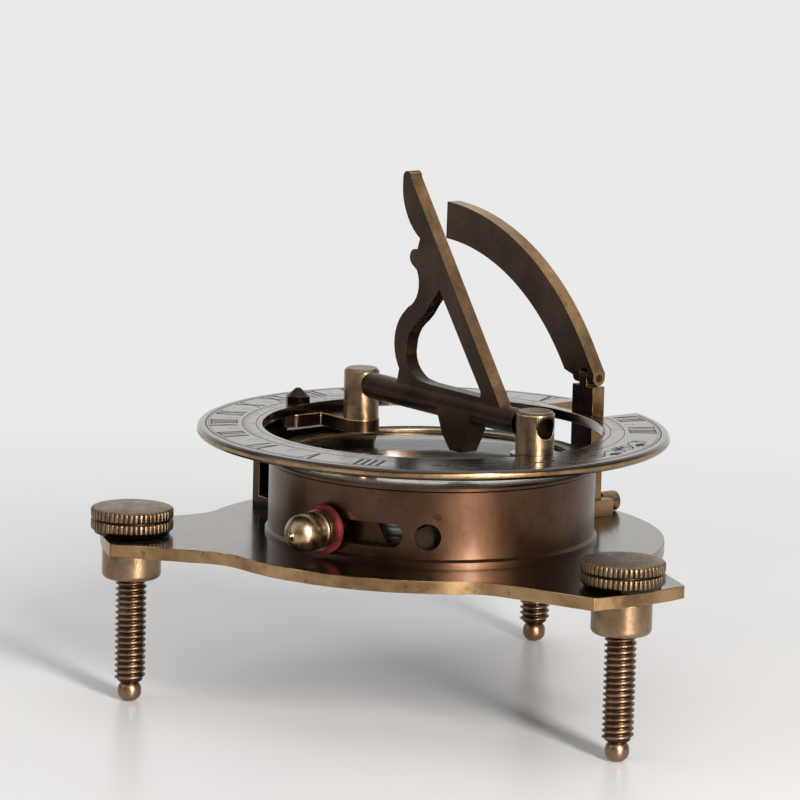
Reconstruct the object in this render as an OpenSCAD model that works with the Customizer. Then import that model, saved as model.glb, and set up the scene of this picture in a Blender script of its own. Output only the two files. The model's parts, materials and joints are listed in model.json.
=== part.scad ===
// Horizontal sundial with a compass, on a three-screw levelling stand.
// Millimetres, +Z up, floor at z = 0, drum axis on the Z axis, the XII side and ring hinge at +Y.

/* [Stand] */
// Height of the plate's underside above the floor
plate_z = 33.5; // [30:0.5:40]
// Thickness of the trefoil plate
plate_t = 2.7; // [2.4:0.1:3.5]
// Radius of the round middle of the plate
hub_r = 49.6; // [49:0.2:52]
// How far a lobe reaches out past its levelling screw's axis
lobe_over = 6.5; // [6:0.5:9]
// Half width of a lobe at its end
lobe_half_w = 11.9; // [11:0.1:13]
// Angle at which a lobe's sides spread towards the middle
lobe_flare = 20.7; // [14:0.5:24]
// Radius of the hollow corner between a lobe and the middle
lobe_fillet_r = 12; // [8:0.5:14]
// Radius of the circle on which the three levelling screws stand
leg_r = 63.5; // [62:0.5:65]

/* [Levelling screws] */
// Outside diameter of the quarter-inch thread
thread_d = 6.6; // [6:0.1:7]
// Clearance all round the thread in its bush
thread_gap = 0.05; // [0.03:0.01:0.08]
// Diameter of the ball at the foot
ball_d = 5; // [4.4:0.1:5.6]
// Diameter of a bush under the plate
bush_d = 12.5; // [11:0.1:14]
// Height of a bush under the plate
bush_h = 6.9; // [5:0.1:8]
// Diameter of the knurled head
knob_d = 17.4; // [15:0.1:18]
// Height of the knurled head
knob_h = 5.7; // [5:0.1:6.5]
// Gap between a knob that is screwed home and the plate
knob_gap = 0.15; // [0.1:0.05:0.3]

/* [Compass drum] */
// Outside radius of the drum
drum_r = 34.6; // [34:0.1:35]
// Wall of the drum
drum_wall = 2.6; // [2.4:0.1:2.8]
// Height of the drum
drum_h = 16.5; // [16:0.1:16.8]
// Thickness of the drum's floor
drum_floor = 1.2; // [1:0.1:1.4]
// How far the bead at the foot of the drum stands out
drum_bead = 0.6; // [0.4:0.1:0.8]
// Thickness of the glass
glass_t = 1.2; // [1:0.1:1.3]
// Height of the ring that holds the glass
glass_ring_h = 0.7; // [0.6:0.05:0.8]
// Thickness of the plate under the compass card
dial_t = 1.6; // [1.4:0.1:1.7]
// Thickness of the compass card
card_t = 0.3; // [0.2:0.05:0.4]
// Length of the compass needle
needle_len = 48; // [40:1:54]

/* [Needle lock] */
// Height of the slot in the drum's wall
slot_h = 5; // [4.8:0.1:5.2]
// Direction of the stud when the needle is free, in degrees from +X
lock_az = 193.9; // [192:0.1:196]
// Angle through which the stud slides to lock the needle
lock_travel = 24; // [22:0.5:25]
// Diameter of the stud in the slot
stud_d = 4.4; // [4:0.1:4.6]
// Diameter of the red fibre washer
washer_d = 10.4; // [9.4:0.1:10.6]
// Diameter of the acorn knob
acorn_d = 8.1; // [7:0.1:8.6]
// Direction of the round window in the drum's wall
window_az = 231; // [229:0.5:233]
// Diameter of the round window
window_d = 5.6; // [5:0.1:6]

/* [Hour ring] */
// Outside radius of the hour ring
ring_ro = 50; // [49:0.25:51]
// Inside radius of the hour ring
ring_ri = 36.2; // [36:0.1:36.8]
// Thickness of the hour ring
ring_t = 2.1; // [1.8:0.1:2.2]
// Height of the ring's top above the floor
ring_top = 59; // [59:0.1:59.6]
// Thickness of the leaf under the ring
leaf_t = 2.8; // [2.6:0.1:2.9]
// Radius of the hinge knuckles
knuckle_r = 2; // [1.7:0.1:2]
// Distance of the ring's hinge from the drum's wall
hinge_out = 7.4; // [7.4:0.1:7.8]
// Width of the hinge bracket
bracket_w = 31.2; // [28:0.2:33]
// Thickness of the hinge bracket's upright
bracket_t = 2.4; // [2.2:0.1:2.6]

/* [Gnomon] */
// Height of the gnomon's pivot above the ring's top
gnomon_rise = 5.5; // [5.4:0.1:6]
// Height of the gnomon's tip above its pivot
gnomon_h = 47.9; // [46:0.1:49]
// Thickness of the gnomon's plate
gnomon_t = 3; // [2.4:0.1:3.2]
// Diameter of the bar that the gnomon turns on
bar_d = 5.6; // [5:0.1:6]
// Diameter of the front pivot post
post_s_d = 8; // [7.6:0.1:8.4]
// Diameter of the rear pivot post
post_n_d = 7.6; // [7:0.1:8]
// Distance of the front pivot post from the drum axis
post_s_y = 34; // [33.8:0.1:34.4]
// Distance of the rear pivot post from the drum axis
post_n_y = 25.5; // [25:0.1:26]
// Diameter of the gnomon's two trunnions
trunnion_d = 4.4; // [4:0.1:4.6]

/* [Latitude arc] */
// Distance of the arc's middle plane from the noon plane
arc_x = 41; // [41:0.1:41.4]
// Thickness of the arc and its post
arc_t = 3.2; // [2.8:0.1:3.3]
// Outer radius of the arc about the ring's hinge
arc_ro = 47; // [46.5:0.1:47.5]
// Width of the arc and its post
arc_w = 7; // [6.6:0.1:7.4]
// Height of the arc's own folding joint
arc_joint_z = 66.5; // [66.5:0.1:67.5]
// Angle at which the arc ends, from the horizontal through the hinge
arc_end = 94; // [86:1:95]
// Half width of the notch that lets the ring pass the arc
notch_half = 9; // [8.6:0.1:9.4]

/* [Hidden] */

$fn = 96;
eps = 0.01;
run_gap = 0.3;
pin_gap = 0.04;
over = 1;

plate_top = plate_z + plate_t;
lobe_end_r = leg_r + lobe_over;
leg_az = [-90, 30, 150];

rod_foot_z = 3.9;
rod_neck_r = 1.9;
rod_chamfer_h = 1;
knob_z = plate_top + knob_gap;
knob_shoulder_h = 1;
knob_band_h = 2.1;
knob_dome_h = 0.35;
knob_step = 0.7;
tang_d = 5;
tang_h = 4.2;
bush_round = 1.2;
spigot_d = 9;

drum_top = plate_top + drum_h;
bore_r = drum_r - drum_wall;
floor_top = plate_top + drum_floor;
bead_h = 1.3;
rim_bead = 0.35;
rim_bead_h = 0.9;
glass_r = bore_r + 0.8;
glass_z = drum_top - glass_ring_h - glass_t;
glass_ring_w = 1.9;
glass_gap = 0.05;
needle_room = 3.3;
card_z = glass_z - needle_room;
card_gap = 0.4;
dial_z = card_z - card_t - dial_t;
dial_gap = 0.1;
dial_screw_d = 1.6;
dial_screw_bite = 2;
dial_screw_sunk = 0.3;
dial_screw_az = [window_az + 3.2, window_az + 123.2, window_az + 243.2];
drum_screw_r = 25;
drum_screw_d = 2.6;
drum_screw_head_d = 5;

slot_rise = 5.9;
slot_z = plate_top + slot_rise;
slot_slack = 0.4;
strip_ro = bore_r - run_gap;
strip_t = 0.8;
strip_top = slot_z + slot_h / 2 + run_gap;
strip_z = floor_top + run_gap;
strip_back = 10;
strip_front = 19.6;
strip_slant = 28;
slant_drop = 0.2;
rail_front = 43;
rail_back = 8;
rail_h = 2.4;
rail_w = 1.5;
ramp_rise = 1.5;
washer_t = 1.5;
washer_r0 = drum_r + drum_bead + run_gap;
collar_t = 0.9;
collar_d = 8.6;
acorn_r0 = washer_r0 + washer_t + collar_t;
acorn_len = 9.2;

lever_pivot_r = 20;
lever_w = 4;
lever_t = 0.9;
lever_rise = 0.5;
lever_z = slot_z + lever_rise;
lever_boss_r = 1.1;
lever_eye_d = 9;
lever_hole_d = 4;
toe_w = 3;
toe_t = 0.9;
toe_gap = 0.35;
toe_back = 0.4;
toe_r = strip_ro - strip_t - toe_back;
lever_pin_d = 1.2;
cheek_t = 1.2;
cheek_gap = 0.2;
cheek_half = 2.4;
cheek_rise = 2;
sleeve_d = 4.6;
sleeve_bore = 2.3;
flange_d = 8;
flange_t = 0.8;
flange_gap = 0.25;
flange_z = lever_z + lever_t + flange_gap;
post_pin_d = 2;
post_tip_d = 0.16;
post_tip_rise = 1.65;
post_tip_z = card_z + post_tip_rise;
cap_rise = 0.85;
cap_z = card_z + cap_rise;
cap_h = 1.5;
cap_d = 3.6;
cap_wall = 0.4;
cap_cone = 0.65;
sleeve_gap = 0.15;
needle_t = 0.4;
needle_w = 4.4;
needle_eye = 0.8;

ring_under = ring_top - ring_t;
hinge_y = drum_r + hinge_out;
hinge_z = ring_under - knuckle_r - run_gap;
leaf_z = ring_under - leaf_t;
knuckle_half = 8;
hinge_pin_d = 1.6;
leaf_half_w = 12;
leaf_y0 = 34.5;
leaf_y1 = hinge_y - knuckle_r - run_gap;
leaf_round = 2.5;
tongue_r = 4;
leaf_screw_x = 8;
leaf_screw_in = 4.4;
leaf_screw_y = hinge_y - leaf_screw_in;
leaf_screw_d = 2.4;
leaf_head_r = 2.8;
leaf_head_h = 1.5;
leaf_dome_h = 1.7;
leaf_dome_r = 2.4;
leaf_tip_r = 0.5;
ring_round = 0.9;
pad_r = 5;
notch_gap = 1.2;
notch_x = arc_x - arc_t / 2 - notch_gap;

flange_foot_t = 2.4;
bracket_y0 = hinge_y - bracket_t / 2;
bracket_gap = 1;
bracket_foot_y = drum_r + drum_bead + bracket_gap;
bracket_screw_x = 10.5;
bracket_screw_d = 2.4;
bracket_head_d = 4.2;
bracket_head_h = 1.4;
driver_slot_w = 0.6;
driver_slot_h = 0.5;
blind = 1.8;

pivot_z = ring_top + gnomon_rise;
post_cap_h = 3.3;
post_top = pivot_z + post_cap_h;
spigot_r = 2;
bar_y0 = -(post_s_y - post_s_d / 2 - run_gap);
bar_y1 = post_n_y - post_n_d / 2 - run_gap;
post_edge = 0.6;
trunnion_sunk = 0.6;
gnomon_drawn_h = 47.9;
gnomon_k = gnomon_h / gnomon_drawn_h;

arc_ri = arc_ro - arc_w;
arc_y0 = hinge_y - arc_ro;
arc_start = 22;
tenon_half = 1.2;
fork_gap = 0.15;
arc_pin_d = 1.6;
arc_foot_t = 3.7;
arc_foot_out = 2.5;
arc_foot_side = 1.3;
clamp_d = 4.4;
clamp_len = 4.2;
clamp_shank_d = 2.4;
clamp_rise = 2.2;
clamp_slot_w = 0.7;
clamp_slot_h = 0.8;

function polar(r, a) = [r * cos(a), r * sin(a)];
function arc_pts(c, r, a0, a1, n) = [for (i = [0:n]) c + polar(r, a0 + (a1 - a0) * i / n)];

// Puts a flat outline, drawn as (y, z), upright in a plane of constant x
module upright(x0, t) {
    translate([x0, 0, 0]) rotate([90, 0, 90]) linear_extrude(t) children();
}

// A round bar that points outwards along a radius in direction az
module radial(az, z, r0, r1, d, d2 = undef) {
    translate([0, 0, z]) rotate([0, 0, az]) rotate([0, 90, 0]) translate([0, 0, r0])
        cylinder(h = r1 - r0, d1 = d, d2 = is_undef(d2) ? d : d2);
}

// A bar along Y
module along_y(x, z, y0, y1, d) {
    translate([x, y1, z]) rotate([90, 0, 0]) cylinder(h = y1 - y0, d = d);
}

// A bar along X
module along_x(y, z, x0, x1, d) {
    translate([x0, y, z]) rotate([0, 90, 0]) cylinder(h = x1 - x0, d = d);
}

// Middle of the hollow fillet between the hub and the left side of a lobe that points along +X
function fillet_centre() =
    let (end_x = sqrt(pow(lobe_end_r, 2) - pow(lobe_half_w, 2)),
        run = [-cos(lobe_flare), sin(lobe_flare)],
        start = [end_x, lobe_half_w] + lobe_fillet_r * [sin(lobe_flare), cos(lobe_flare)],
        b = start * run,
        c = start * start - pow(hub_r + lobe_fillet_r, 2))
    start + (-b - sqrt(b * b - c)) * run;

// A third of the plate's outline, from the end of one lobe round to the foot of the next
function third_outline() =
    let (c = fillet_centre(), hub_az = atan2(c[1], c[0]), next_az = 120 - hub_az,
        end_az = asin(lobe_half_w / lobe_end_r))
    concat(arc_pts([0, 0], lobe_end_r, -end_az, end_az, 8),
        arc_pts(c, lobe_fillet_r, 270 - lobe_flare, 180 + hub_az, 8),
        arc_pts([0, 0], hub_r, hub_az + 2, next_az - 2, 24),
        arc_pts(polar(norm(c), next_az), lobe_fillet_r, -60 - hub_az, lobe_flare - 150, 8));

module base_plate() {
    color("#4a3426") difference() {
        translate([0, 0, plate_z]) linear_extrude(plate_t)
            polygon([for (a = leg_az, p = third_outline()) polar(norm(p), atan2(p[1], p[0]) + a)]);
        for (a = leg_az) rotate(a) {
            translate([leg_r, 0, plate_z - over]) cylinder(h = plate_t + 2 * over, d = spigot_d);
            translate([drum_screw_r, 0, plate_z - over])
                cylinder(h = plate_t + 2 * over, d = drum_screw_d);
            translate([drum_screw_r, 0, plate_z - eps]) cylinder(h = screw_cone_h() + eps,
                d1 = drum_screw_head_d + 2 * eps, d2 = drum_screw_d);
        }
        for (s = [-1, 1]) translate([s * bracket_screw_x, bracket_screw_y(), plate_top - blind])
            cylinder(h = blind + over, d = bracket_screw_d);
    }
}

function screw_cone_h() = (drum_screw_head_d - drum_screw_d) / 2;
function bracket_screw_y() = (bracket_foot_y + bracket_y0) / 2;

module leg_bushes() {
    color("#7a5f38") for (a = leg_az) rotate(a) translate([leg_r, 0, 0]) difference() {
        union() {
            translate([0, 0, plate_z - bush_h]) rotate_extrude() polygon(concat([[0, 0]],
                arc_pts([bush_d / 2 - bush_round, bush_round], bush_round, -90, 0, 8),
                [[bush_d / 2, bush_h], [0, bush_h]]));
            translate([0, 0, plate_z - eps]) cylinder(h = plate_t + eps, d = spigot_d);
        }
        translate([0, 0, plate_z - bush_h - over])
            cylinder(h = bush_h + plate_t + 2 * over, d = thread_d + 2 * thread_gap);
    }
}

module levelling_rod(az) {
    color("#4c3320") rotate(az) translate([leg_r, 0, 0]) {
        translate([0, 0, ball_d / 2]) sphere(d = ball_d);
        translate([0, 0, ball_d / 2]) cylinder(h = rod_foot_z, r = rod_neck_r);
        translate([0, 0, rod_foot_z])
            cylinder(h = rod_chamfer_h, r1 = rod_neck_r, d2 = thread_d);
        translate([0, 0, rod_foot_z + rod_chamfer_h])
            cylinder(h = knob_z - rod_foot_z - rod_chamfer_h, d = thread_d);
        translate([0, 0, knob_z - eps]) cylinder(h = tang_h + eps, d = tang_d);
    }
}

module levelling_knob(az) {
    r = knob_d / 2;
    z1 = knob_shoulder_h;
    z2 = z1 + knob_band_h;
    z3 = knob_h - knob_dome_h - knob_band_h;
    z4 = knob_h - knob_dome_h;
    color("#6b5130") rotate(az) translate([leg_r, 0, knob_z]) difference() {
        rotate_extrude() polygon([[0, 0], [r - knob_step, 0], [r - knob_step, z1], [r, z1], [r, z2],
            [r - knob_step / 2, z2], [r - knob_step / 2, z3], [r, z3], [r, z4],
            [r - knob_step / 2, knob_h], [0, knob_h]]);
        translate([0, 0, -over]) cylinder(h = tang_h + over, d = tang_d);
    }
}

module levelling_rod_south() { levelling_rod(leg_az[0]); }
module levelling_knob_south() { levelling_knob(leg_az[0]); }
module levelling_rod_east() { levelling_rod(leg_az[1]); }
module levelling_knob_east() { levelling_knob(leg_az[1]); }
module levelling_rod_west() { levelling_rod(leg_az[2]); }
module levelling_knob_west() { levelling_knob(leg_az[2]); }

// Directions of the two centres on which the slot ends round
function slot_start_az() = lock_az - slot_slack;
function slot_end_az() = lock_az + lock_travel + slot_slack;

module drum_shell() {
    foot_r = drum_r + drum_bead;
    rim_r = drum_r + rim_bead;
    rim_z = drum_top - rim_bead_h;
    color("#5c3b2a") difference() {
        rotate_extrude($fn = 180) polygon([[0, plate_top], [foot_r, plate_top],
            [foot_r, plate_top + bead_h - drum_bead], [drum_r, plate_top + bead_h],
            [drum_r, rim_z - rim_bead], [rim_r, rim_z], [rim_r, drum_top - rim_bead],
            [drum_r, drum_top], [glass_r, drum_top], [glass_r, glass_z], [bore_r, glass_z],
            [bore_r, floor_top], [0, floor_top]]);
        translate([0, 0, slot_z - slot_h / 2]) linear_extrude(slot_h) polygon([[0, 0],
            polar(2 * drum_r, slot_start_az()), polar(2 * drum_r, slot_end_az())]);
        for (a = [slot_start_az(), slot_end_az()])
            radial(a, slot_z, bore_r - over, drum_r + over, slot_h - 2 * eps);
        radial(window_az, slot_z, bore_r - over, drum_r + over, window_d);
        for (a = dial_screw_az) radial(a, dial_z + dial_t / 2, bore_r - over, drum_r + over, dial_screw_d);
        for (a = leg_az) rotate(a) translate([drum_screw_r, 0, plate_top - over])
            cylinder(h = drum_floor + 2 * over, d = drum_screw_d);
        translate([0, 0, plate_top - over]) cylinder(h = drum_floor + 2 * over, d = post_pin_d);
    }
}

module drum_screws() {
    color("#8a6f45") for (a = leg_az) rotate(a) translate([drum_screw_r, 0, plate_z]) {
        cylinder(h = plate_t + drum_floor, d = drum_screw_d);
        cylinder(h = screw_cone_h(), d1 = drum_screw_head_d, d2 = drum_screw_d);
    }
}

module dial_plate() {
    color("#3a2c20") difference() {
        translate([0, 0, dial_z]) cylinder(h = dial_t, r = bore_r - dial_gap, $fn = 180);
        translate([0, 0, dial_z - over])
            cylinder(h = dial_t + 2 * over, d = sleeve_d + 2 * pin_gap);
        for (a = dial_screw_az)
            radial(a, dial_z + dial_t / 2, bore_r - dial_screw_bite - eps, drum_r, dial_screw_d);
    }
}

module dial_screws() {
    color("#2e2319") for (a = dial_screw_az)
        radial(a, dial_z + dial_t / 2, bore_r - dial_screw_bite, drum_r - dial_screw_sunk,
            dial_screw_d);
}

module compass_card() {
    color("#b9b6ad") difference() {
        translate([0, 0, card_z - card_t]) cylinder(h = card_t, r = bore_r - card_gap, $fn = 180);
        translate([0, 0, card_z - card_t - over])
            cylinder(h = card_t + 2 * over, d = sleeve_d + 4 * pin_gap);
    }
}

module pivot_post() {
    shoulder_z = cap_z - cap_wall;
    color("#c9c4b8") {
        translate([0, 0, plate_top]) cylinder(h = shoulder_z - plate_top, d = post_pin_d);
        translate([0, 0, shoulder_z - eps])
            cylinder(h = post_tip_z - shoulder_z + eps, d1 = post_pin_d, d2 = post_tip_d);
    }
}

module needle() {
    z = cap_z + cap_wall;
    half = needle_len / 2;
    color("#d8d4c8") difference() {
        translate([0, 0, z]) linear_extrude(needle_t) union() {
            polygon([[-needle_w / 2, 0], [0, -half], [needle_w / 2, 0], [0, half]]);
            circle(d = cap_d + 2 * needle_eye);
        }
        translate([0, 0, z - over]) cylinder(h = needle_t + 2 * over, d = cap_d);
    }
}

module needle_cap() {
    color("#b8924f") difference() {
        union() {
            translate([0, 0, cap_z]) cylinder(h = cap_h / 2, d = cap_d);
            translate([0, 0, cap_z + cap_h / 2]) cylinder(h = cap_h / 2, d1 = cap_d, d2 = cap_d / 2);
        }
        translate([0, 0, cap_z - eps]) cylinder(h = cap_h * cap_cone, r1 = cap_d / 2 - cap_wall, r2 = cap_wall / 2);
    }
}

module glass() {
    color([0.85, 0.9, 0.9, 0.35]) translate([0, 0, glass_z])
        cylinder(h = glass_t, r = glass_r - glass_gap, $fn = 180);
}

module glass_ring() {
    color("#6e5231") difference() {
        translate([0, 0, glass_z + glass_t]) cylinder(h = glass_ring_h, r = glass_r - 2 * eps, $fn = 180);
        translate([0, 0, glass_z + glass_t - over])
            cylinder(h = glass_ring_h + 2 * over, r = glass_r - glass_ring_w, $fn = 180);
    }
}

module lift_sleeve() {
    color("#a5824a") difference() {
        union() {
            translate([0, 0, flange_z]) cylinder(h = flange_t, d = flange_d);
            translate([0, 0, flange_z]) cylinder(h = cap_z - sleeve_gap - flange_z, d = sleeve_d);
        }
        translate([0, 0, flange_z - over])
            cylinder(h = cap_z - flange_z + 2 * over, d = sleeve_bore);
    }
}

// The lever lies under the dial, from its pivot behind the needle to the window in the drum's wall
module lift_lever() {
    foot = ramp_z(rail_u()) + toe_gap;
    color("#c2bfb4") rotate(window_az) difference() {
        union() {
            translate([-lever_pivot_r, -lever_w / 2, lever_z])
                cube([lever_pivot_r + toe_r, lever_w, lever_t]);
            translate([0, 0, lever_z]) cylinder(h = lever_t, d = lever_eye_d);
            translate([toe_r - toe_t, -toe_w / 2, foot]) cube([toe_t, toe_w, lever_z - foot + eps]);
            along_y(-lever_pivot_r, lever_z + lever_t / 2, -lever_w / 2, lever_w / 2, 2 * lever_boss_r);
        }
        translate([0, 0, lever_z - over]) cylinder(h = lever_t + 2 * over, d = lever_hole_d);
        along_y(-lever_pivot_r, lever_z + lever_t / 2, -lever_w, lever_w, lever_pin_d + 2 * pin_gap);
    }
}

module lever_bracket() {
    y0 = lever_w / 2 + cheek_gap;
    top = lever_z + lever_t / 2 + cheek_rise;
    color("#8a6f45") rotate(window_az) translate([-lever_pivot_r, 0, 0]) difference() {
        union() {
            for (s = [-1, 1]) translate([-cheek_half, s > 0 ? y0 : -y0 - cheek_t, floor_top])
                cube([2 * cheek_half, cheek_t, top - floor_top]);
            translate([-cheek_half, -y0 - cheek_t, floor_top])
                cube([2 * cheek_half, 2 * (y0 + cheek_t), cheek_t]);
        }
        along_y(0, lever_z + lever_t / 2, -y0 - 2 * cheek_t, y0 + 2 * cheek_t, lever_pin_d);
    }
}

module lever_pin() {
    y0 = lever_w / 2 + cheek_gap + cheek_t;
    color("#b8b4aa") rotate(window_az)
        along_y(-lever_pivot_r, lever_z + lever_t / 2, -y0, y0, lever_pin_d);
}

// The rail's ramp is one sloping plane: its height falls evenly with the distance u across it
function rail_u() = rail_mid_r() * sin(window_az - lock_az - ramp_mid());
function rail_mid_r() = strip_ro - strip_t - rail_w / 2;
function ramp_mid() = (window_az - lock_az) - lock_travel / 2;
function ramp_slope() = ramp_rise / (2 * rail_mid_r() * sin(lock_travel / 2));
function ramp_z(u) = strip_z + rail_h / 2 - u * ramp_slope();

// The strip slides round inside the drum's wall, and its rail lifts the lever's toe
module lock_strip() {
    big = 2 * drum_r;
    color("#55402a") rotate(lock_az) difference() {
        union() {
            difference() {
                translate([0, 0, strip_z]) rotate(-strip_back)
                    rotate_extrude(angle = strip_back + rail_front)
                        translate([strip_ro - strip_t, 0]) square([strip_t, strip_top - strip_z]);
                rotate(strip_front) translate([0, 0, slot_z]) rotate([strip_slant, 0, 0])
                    translate([0, 0, -slot_h / 2 - slant_drop]) cube([big, big, big]);
            }
            translate([0, 0, strip_z]) rotate(-strip_back)
                rotate_extrude(angle = strip_back + rail_front)
                    translate([strip_ro - strip_t, 0]) square([strip_t, rail_h / 3]);
            intersection() {
                translate([0, 0, strip_z]) rotate(rail_back)
                    rotate_extrude(angle = rail_front - rail_back)
                        translate([strip_ro - strip_t - rail_w, 0]) square([rail_w + eps, rail_h]);
                rotate(ramp_mid()) translate([0, 0, strip_z + rail_h / 2])
                    rotate([-atan(ramp_slope()), 0, 0]) translate([0, -big / 2, -big])
                        cube([big, big, big]);
            }
        }
        radial(0, slot_z, strip_ro - 2 * strip_t, strip_ro + over, stud_d);
    }
}

module lock_stud() {
    color("#8a6f45") radial(lock_az, slot_z, strip_ro - strip_t, acorn_r0 + 2, stud_d);
}

module lock_washer() {
    color("#7c1f1c") difference() {
        radial(lock_az, slot_z, washer_r0, washer_r0 + washer_t, washer_d);
        radial(lock_az, slot_z, washer_r0 - over, washer_r0 + washer_t + over, stud_d);
    }
}

module lock_collar() {
    color("#c29a58") difference() {
        radial(lock_az, slot_z, washer_r0 + washer_t, acorn_r0, collar_d);
        radial(lock_az, slot_z, washer_r0, acorn_r0 + over, stud_d);
    }
}

module lock_acorn() {
    r = acorn_d / 2;
    neck = 0.8;
    tip = 0.45;
    color("#a88347") difference() {
        translate([0, 0, slot_z]) rotate([0, 0, lock_az]) rotate([0, 90, 0])
            translate([0, 0, acorn_r0]) rotate_extrude() polygon(concat([[0, 0], [r - neck, 0]],
                arc_pts([r - neck, neck], neck, -90, 0, 4),
                arc_pts([0, acorn_len - r - tip * 2], r, 0, 76, 14),
                [[tip, acorn_len - tip], [0, acorn_len]]));
        radial(lock_az, slot_z, acorn_r0 - over, acorn_r0 + 2, stud_d);
    }
}

module hinge_bracket() {
    half = bracket_w / 2;
    cut_half = knuckle_half + run_gap;
    color("#4a3729") difference() {
        union() {
            translate([-half, bracket_y0, plate_top])
                cube([bracket_w, bracket_t, hinge_z - plate_top]);
            translate([-half, bracket_foot_y, plate_top])
                cube([bracket_w, bracket_y0 + bracket_t - bracket_foot_y, flange_foot_t]);
            along_x(hinge_y, hinge_z, -half, half, 2 * knuckle_r);
        }
        translate([-cut_half, bracket_y0 - over - knuckle_r, hinge_z - knuckle_r - run_gap])
            cube([2 * cut_half, bracket_t + 2 * (over + knuckle_r), 3 * knuckle_r]);
        along_x(hinge_y, hinge_z, -half - over, half + over, hinge_pin_d);
        for (s = [-1, 1]) translate([s * bracket_screw_x, bracket_screw_y(), plate_top - over])
            cylinder(h = flange_foot_t + 2 * over, d = bracket_screw_d);
    }
}

module bracket_screws() {
    color("#8a6f45") for (s = [-1, 1]) translate([s * bracket_screw_x, bracket_screw_y(), 0]) {
        translate([0, 0, plate_top - blind]) cylinder(h = blind + flange_foot_t, d = bracket_screw_d);
        difference() {
            translate([0, 0, plate_top + flange_foot_t])
                cylinder(h = bracket_head_h, d1 = bracket_head_d, d2 = bracket_head_d * 0.8);
            translate([-bracket_head_d, -driver_slot_w / 2,
                plate_top + flange_foot_t + bracket_head_h - driver_slot_h])
                cube([2 * bracket_head_d, driver_slot_w, over]);
        }
    }
}

module hinge_pin() {
    color("#9a7d4c") along_x(hinge_y, hinge_z, -bracket_w / 2 - 0.4, bracket_w / 2 + 0.4, hinge_pin_d);
}

module hour_ring() {
    r = ring_round;
    color("#5a4030") difference() {
        union() {
            translate([0, 0, ring_under]) rotate_extrude($fn = 240) polygon(concat([[ring_ri, 0]],
                arc_pts([ring_ro - r, r], r, -90, 0, 6),
                arc_pts([ring_ro - r, ring_t - r], r, 0, 90, 6), [[ring_ri, ring_t]]));
            translate([0, -post_s_y, ring_under]) cylinder(h = ring_t, r = pad_r);
        }
        translate([notch_x, -notch_half, ring_under - over])
            cube([ring_ro, 2 * notch_half, ring_t + 2 * over]);
        translate([0, -post_s_y, ring_under - over]) cylinder(h = ring_t + 2 * over, r = spigot_r);
        for (s = [-1, 1]) translate([s * leaf_screw_x, leaf_screw_y, ring_under - over])
            cylinder(h = ring_t + 2 * over, d = leaf_screw_d);
    }
}

// The leaf carries the ring on the hinge, and its tongue carries the rear post
module hinge_leaf() {
    r = leaf_round;
    w = leaf_half_w - r;
    color("#4f3a2b") difference() {
        union() {
            translate([0, 0, leaf_z]) linear_extrude(leaf_t) union() {
                for (s = [-1, 1]) {
                    translate([s * w, leaf_y0 + r]) circle(r = r);
                    translate([s * w, leaf_y1 - r]) circle(r = r);
                }
                translate([-w, leaf_y0]) square([2 * w, leaf_y1 - leaf_y0]);
                translate([-leaf_half_w, leaf_y0 + r]) square([2 * leaf_half_w, leaf_y1 - leaf_y0 - 2 * r + eps]);
                translate([-knuckle_half, leaf_y0 + r]) square([2 * knuckle_half, hinge_y - leaf_y0 - r]);
                translate([-tongue_r, post_n_y]) square([2 * tongue_r, leaf_y0 - post_n_y + r]);
                translate([0, post_n_y]) circle(r = tongue_r);
            }
            along_x(hinge_y, hinge_z, -knuckle_half, knuckle_half, 2 * knuckle_r);
        }
        along_x(hinge_y, hinge_z, -leaf_half_w, leaf_half_w, hinge_pin_d + 2 * pin_gap);
        translate([0, post_n_y, leaf_z - over]) cylinder(h = leaf_t + 2 * over, r = spigot_r);
        for (s = [-1, 1]) translate([s * leaf_screw_x, leaf_screw_y, leaf_z - over])
            cylinder(h = leaf_t + 2 * over, d = leaf_screw_d);
    }
}

module leaf_screws() {
    color("#6a4f33") for (s = [-1, 1]) translate([s * leaf_screw_x, leaf_screw_y, 0]) {
        translate([0, 0, leaf_z]) cylinder(h = leaf_t + ring_t, d = leaf_screw_d);
        translate([0, 0, ring_top]) cylinder(h = leaf_head_h, r = leaf_head_r, $fn = 6);
        translate([0, 0, ring_top + leaf_head_h])
            cylinder(h = leaf_dome_h, r1 = leaf_dome_r, r2 = leaf_tip_r);
    }
}

// A turned post with softened edges, a riveted spigot below and a cross hole for the trunnion
module pivot_pillar(y, d, seat_z, spigot_h) {
    r = d / 2;
    difference() {
        union() {
            translate([0, y, seat_z]) cylinder(h = post_top - post_edge - seat_z, r = r);
            translate([0, y, post_top - post_edge])
                cylinder(h = post_edge, r1 = r, r2 = r - post_edge);
            translate([0, y, seat_z - spigot_h]) cylinder(h = spigot_h + eps, r = spigot_r);
        }
        along_y(0, pivot_z, y - r - over, y + r + over, trunnion_d + 2 * pin_gap);
    }
}

module post_south() { color("#7d5f3a") pivot_pillar(-post_s_y, post_s_d, ring_top, ring_t); }
module post_north() { color("#7d5f3a") pivot_pillar(post_n_y, post_n_d, ring_under, leaf_t); }

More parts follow.
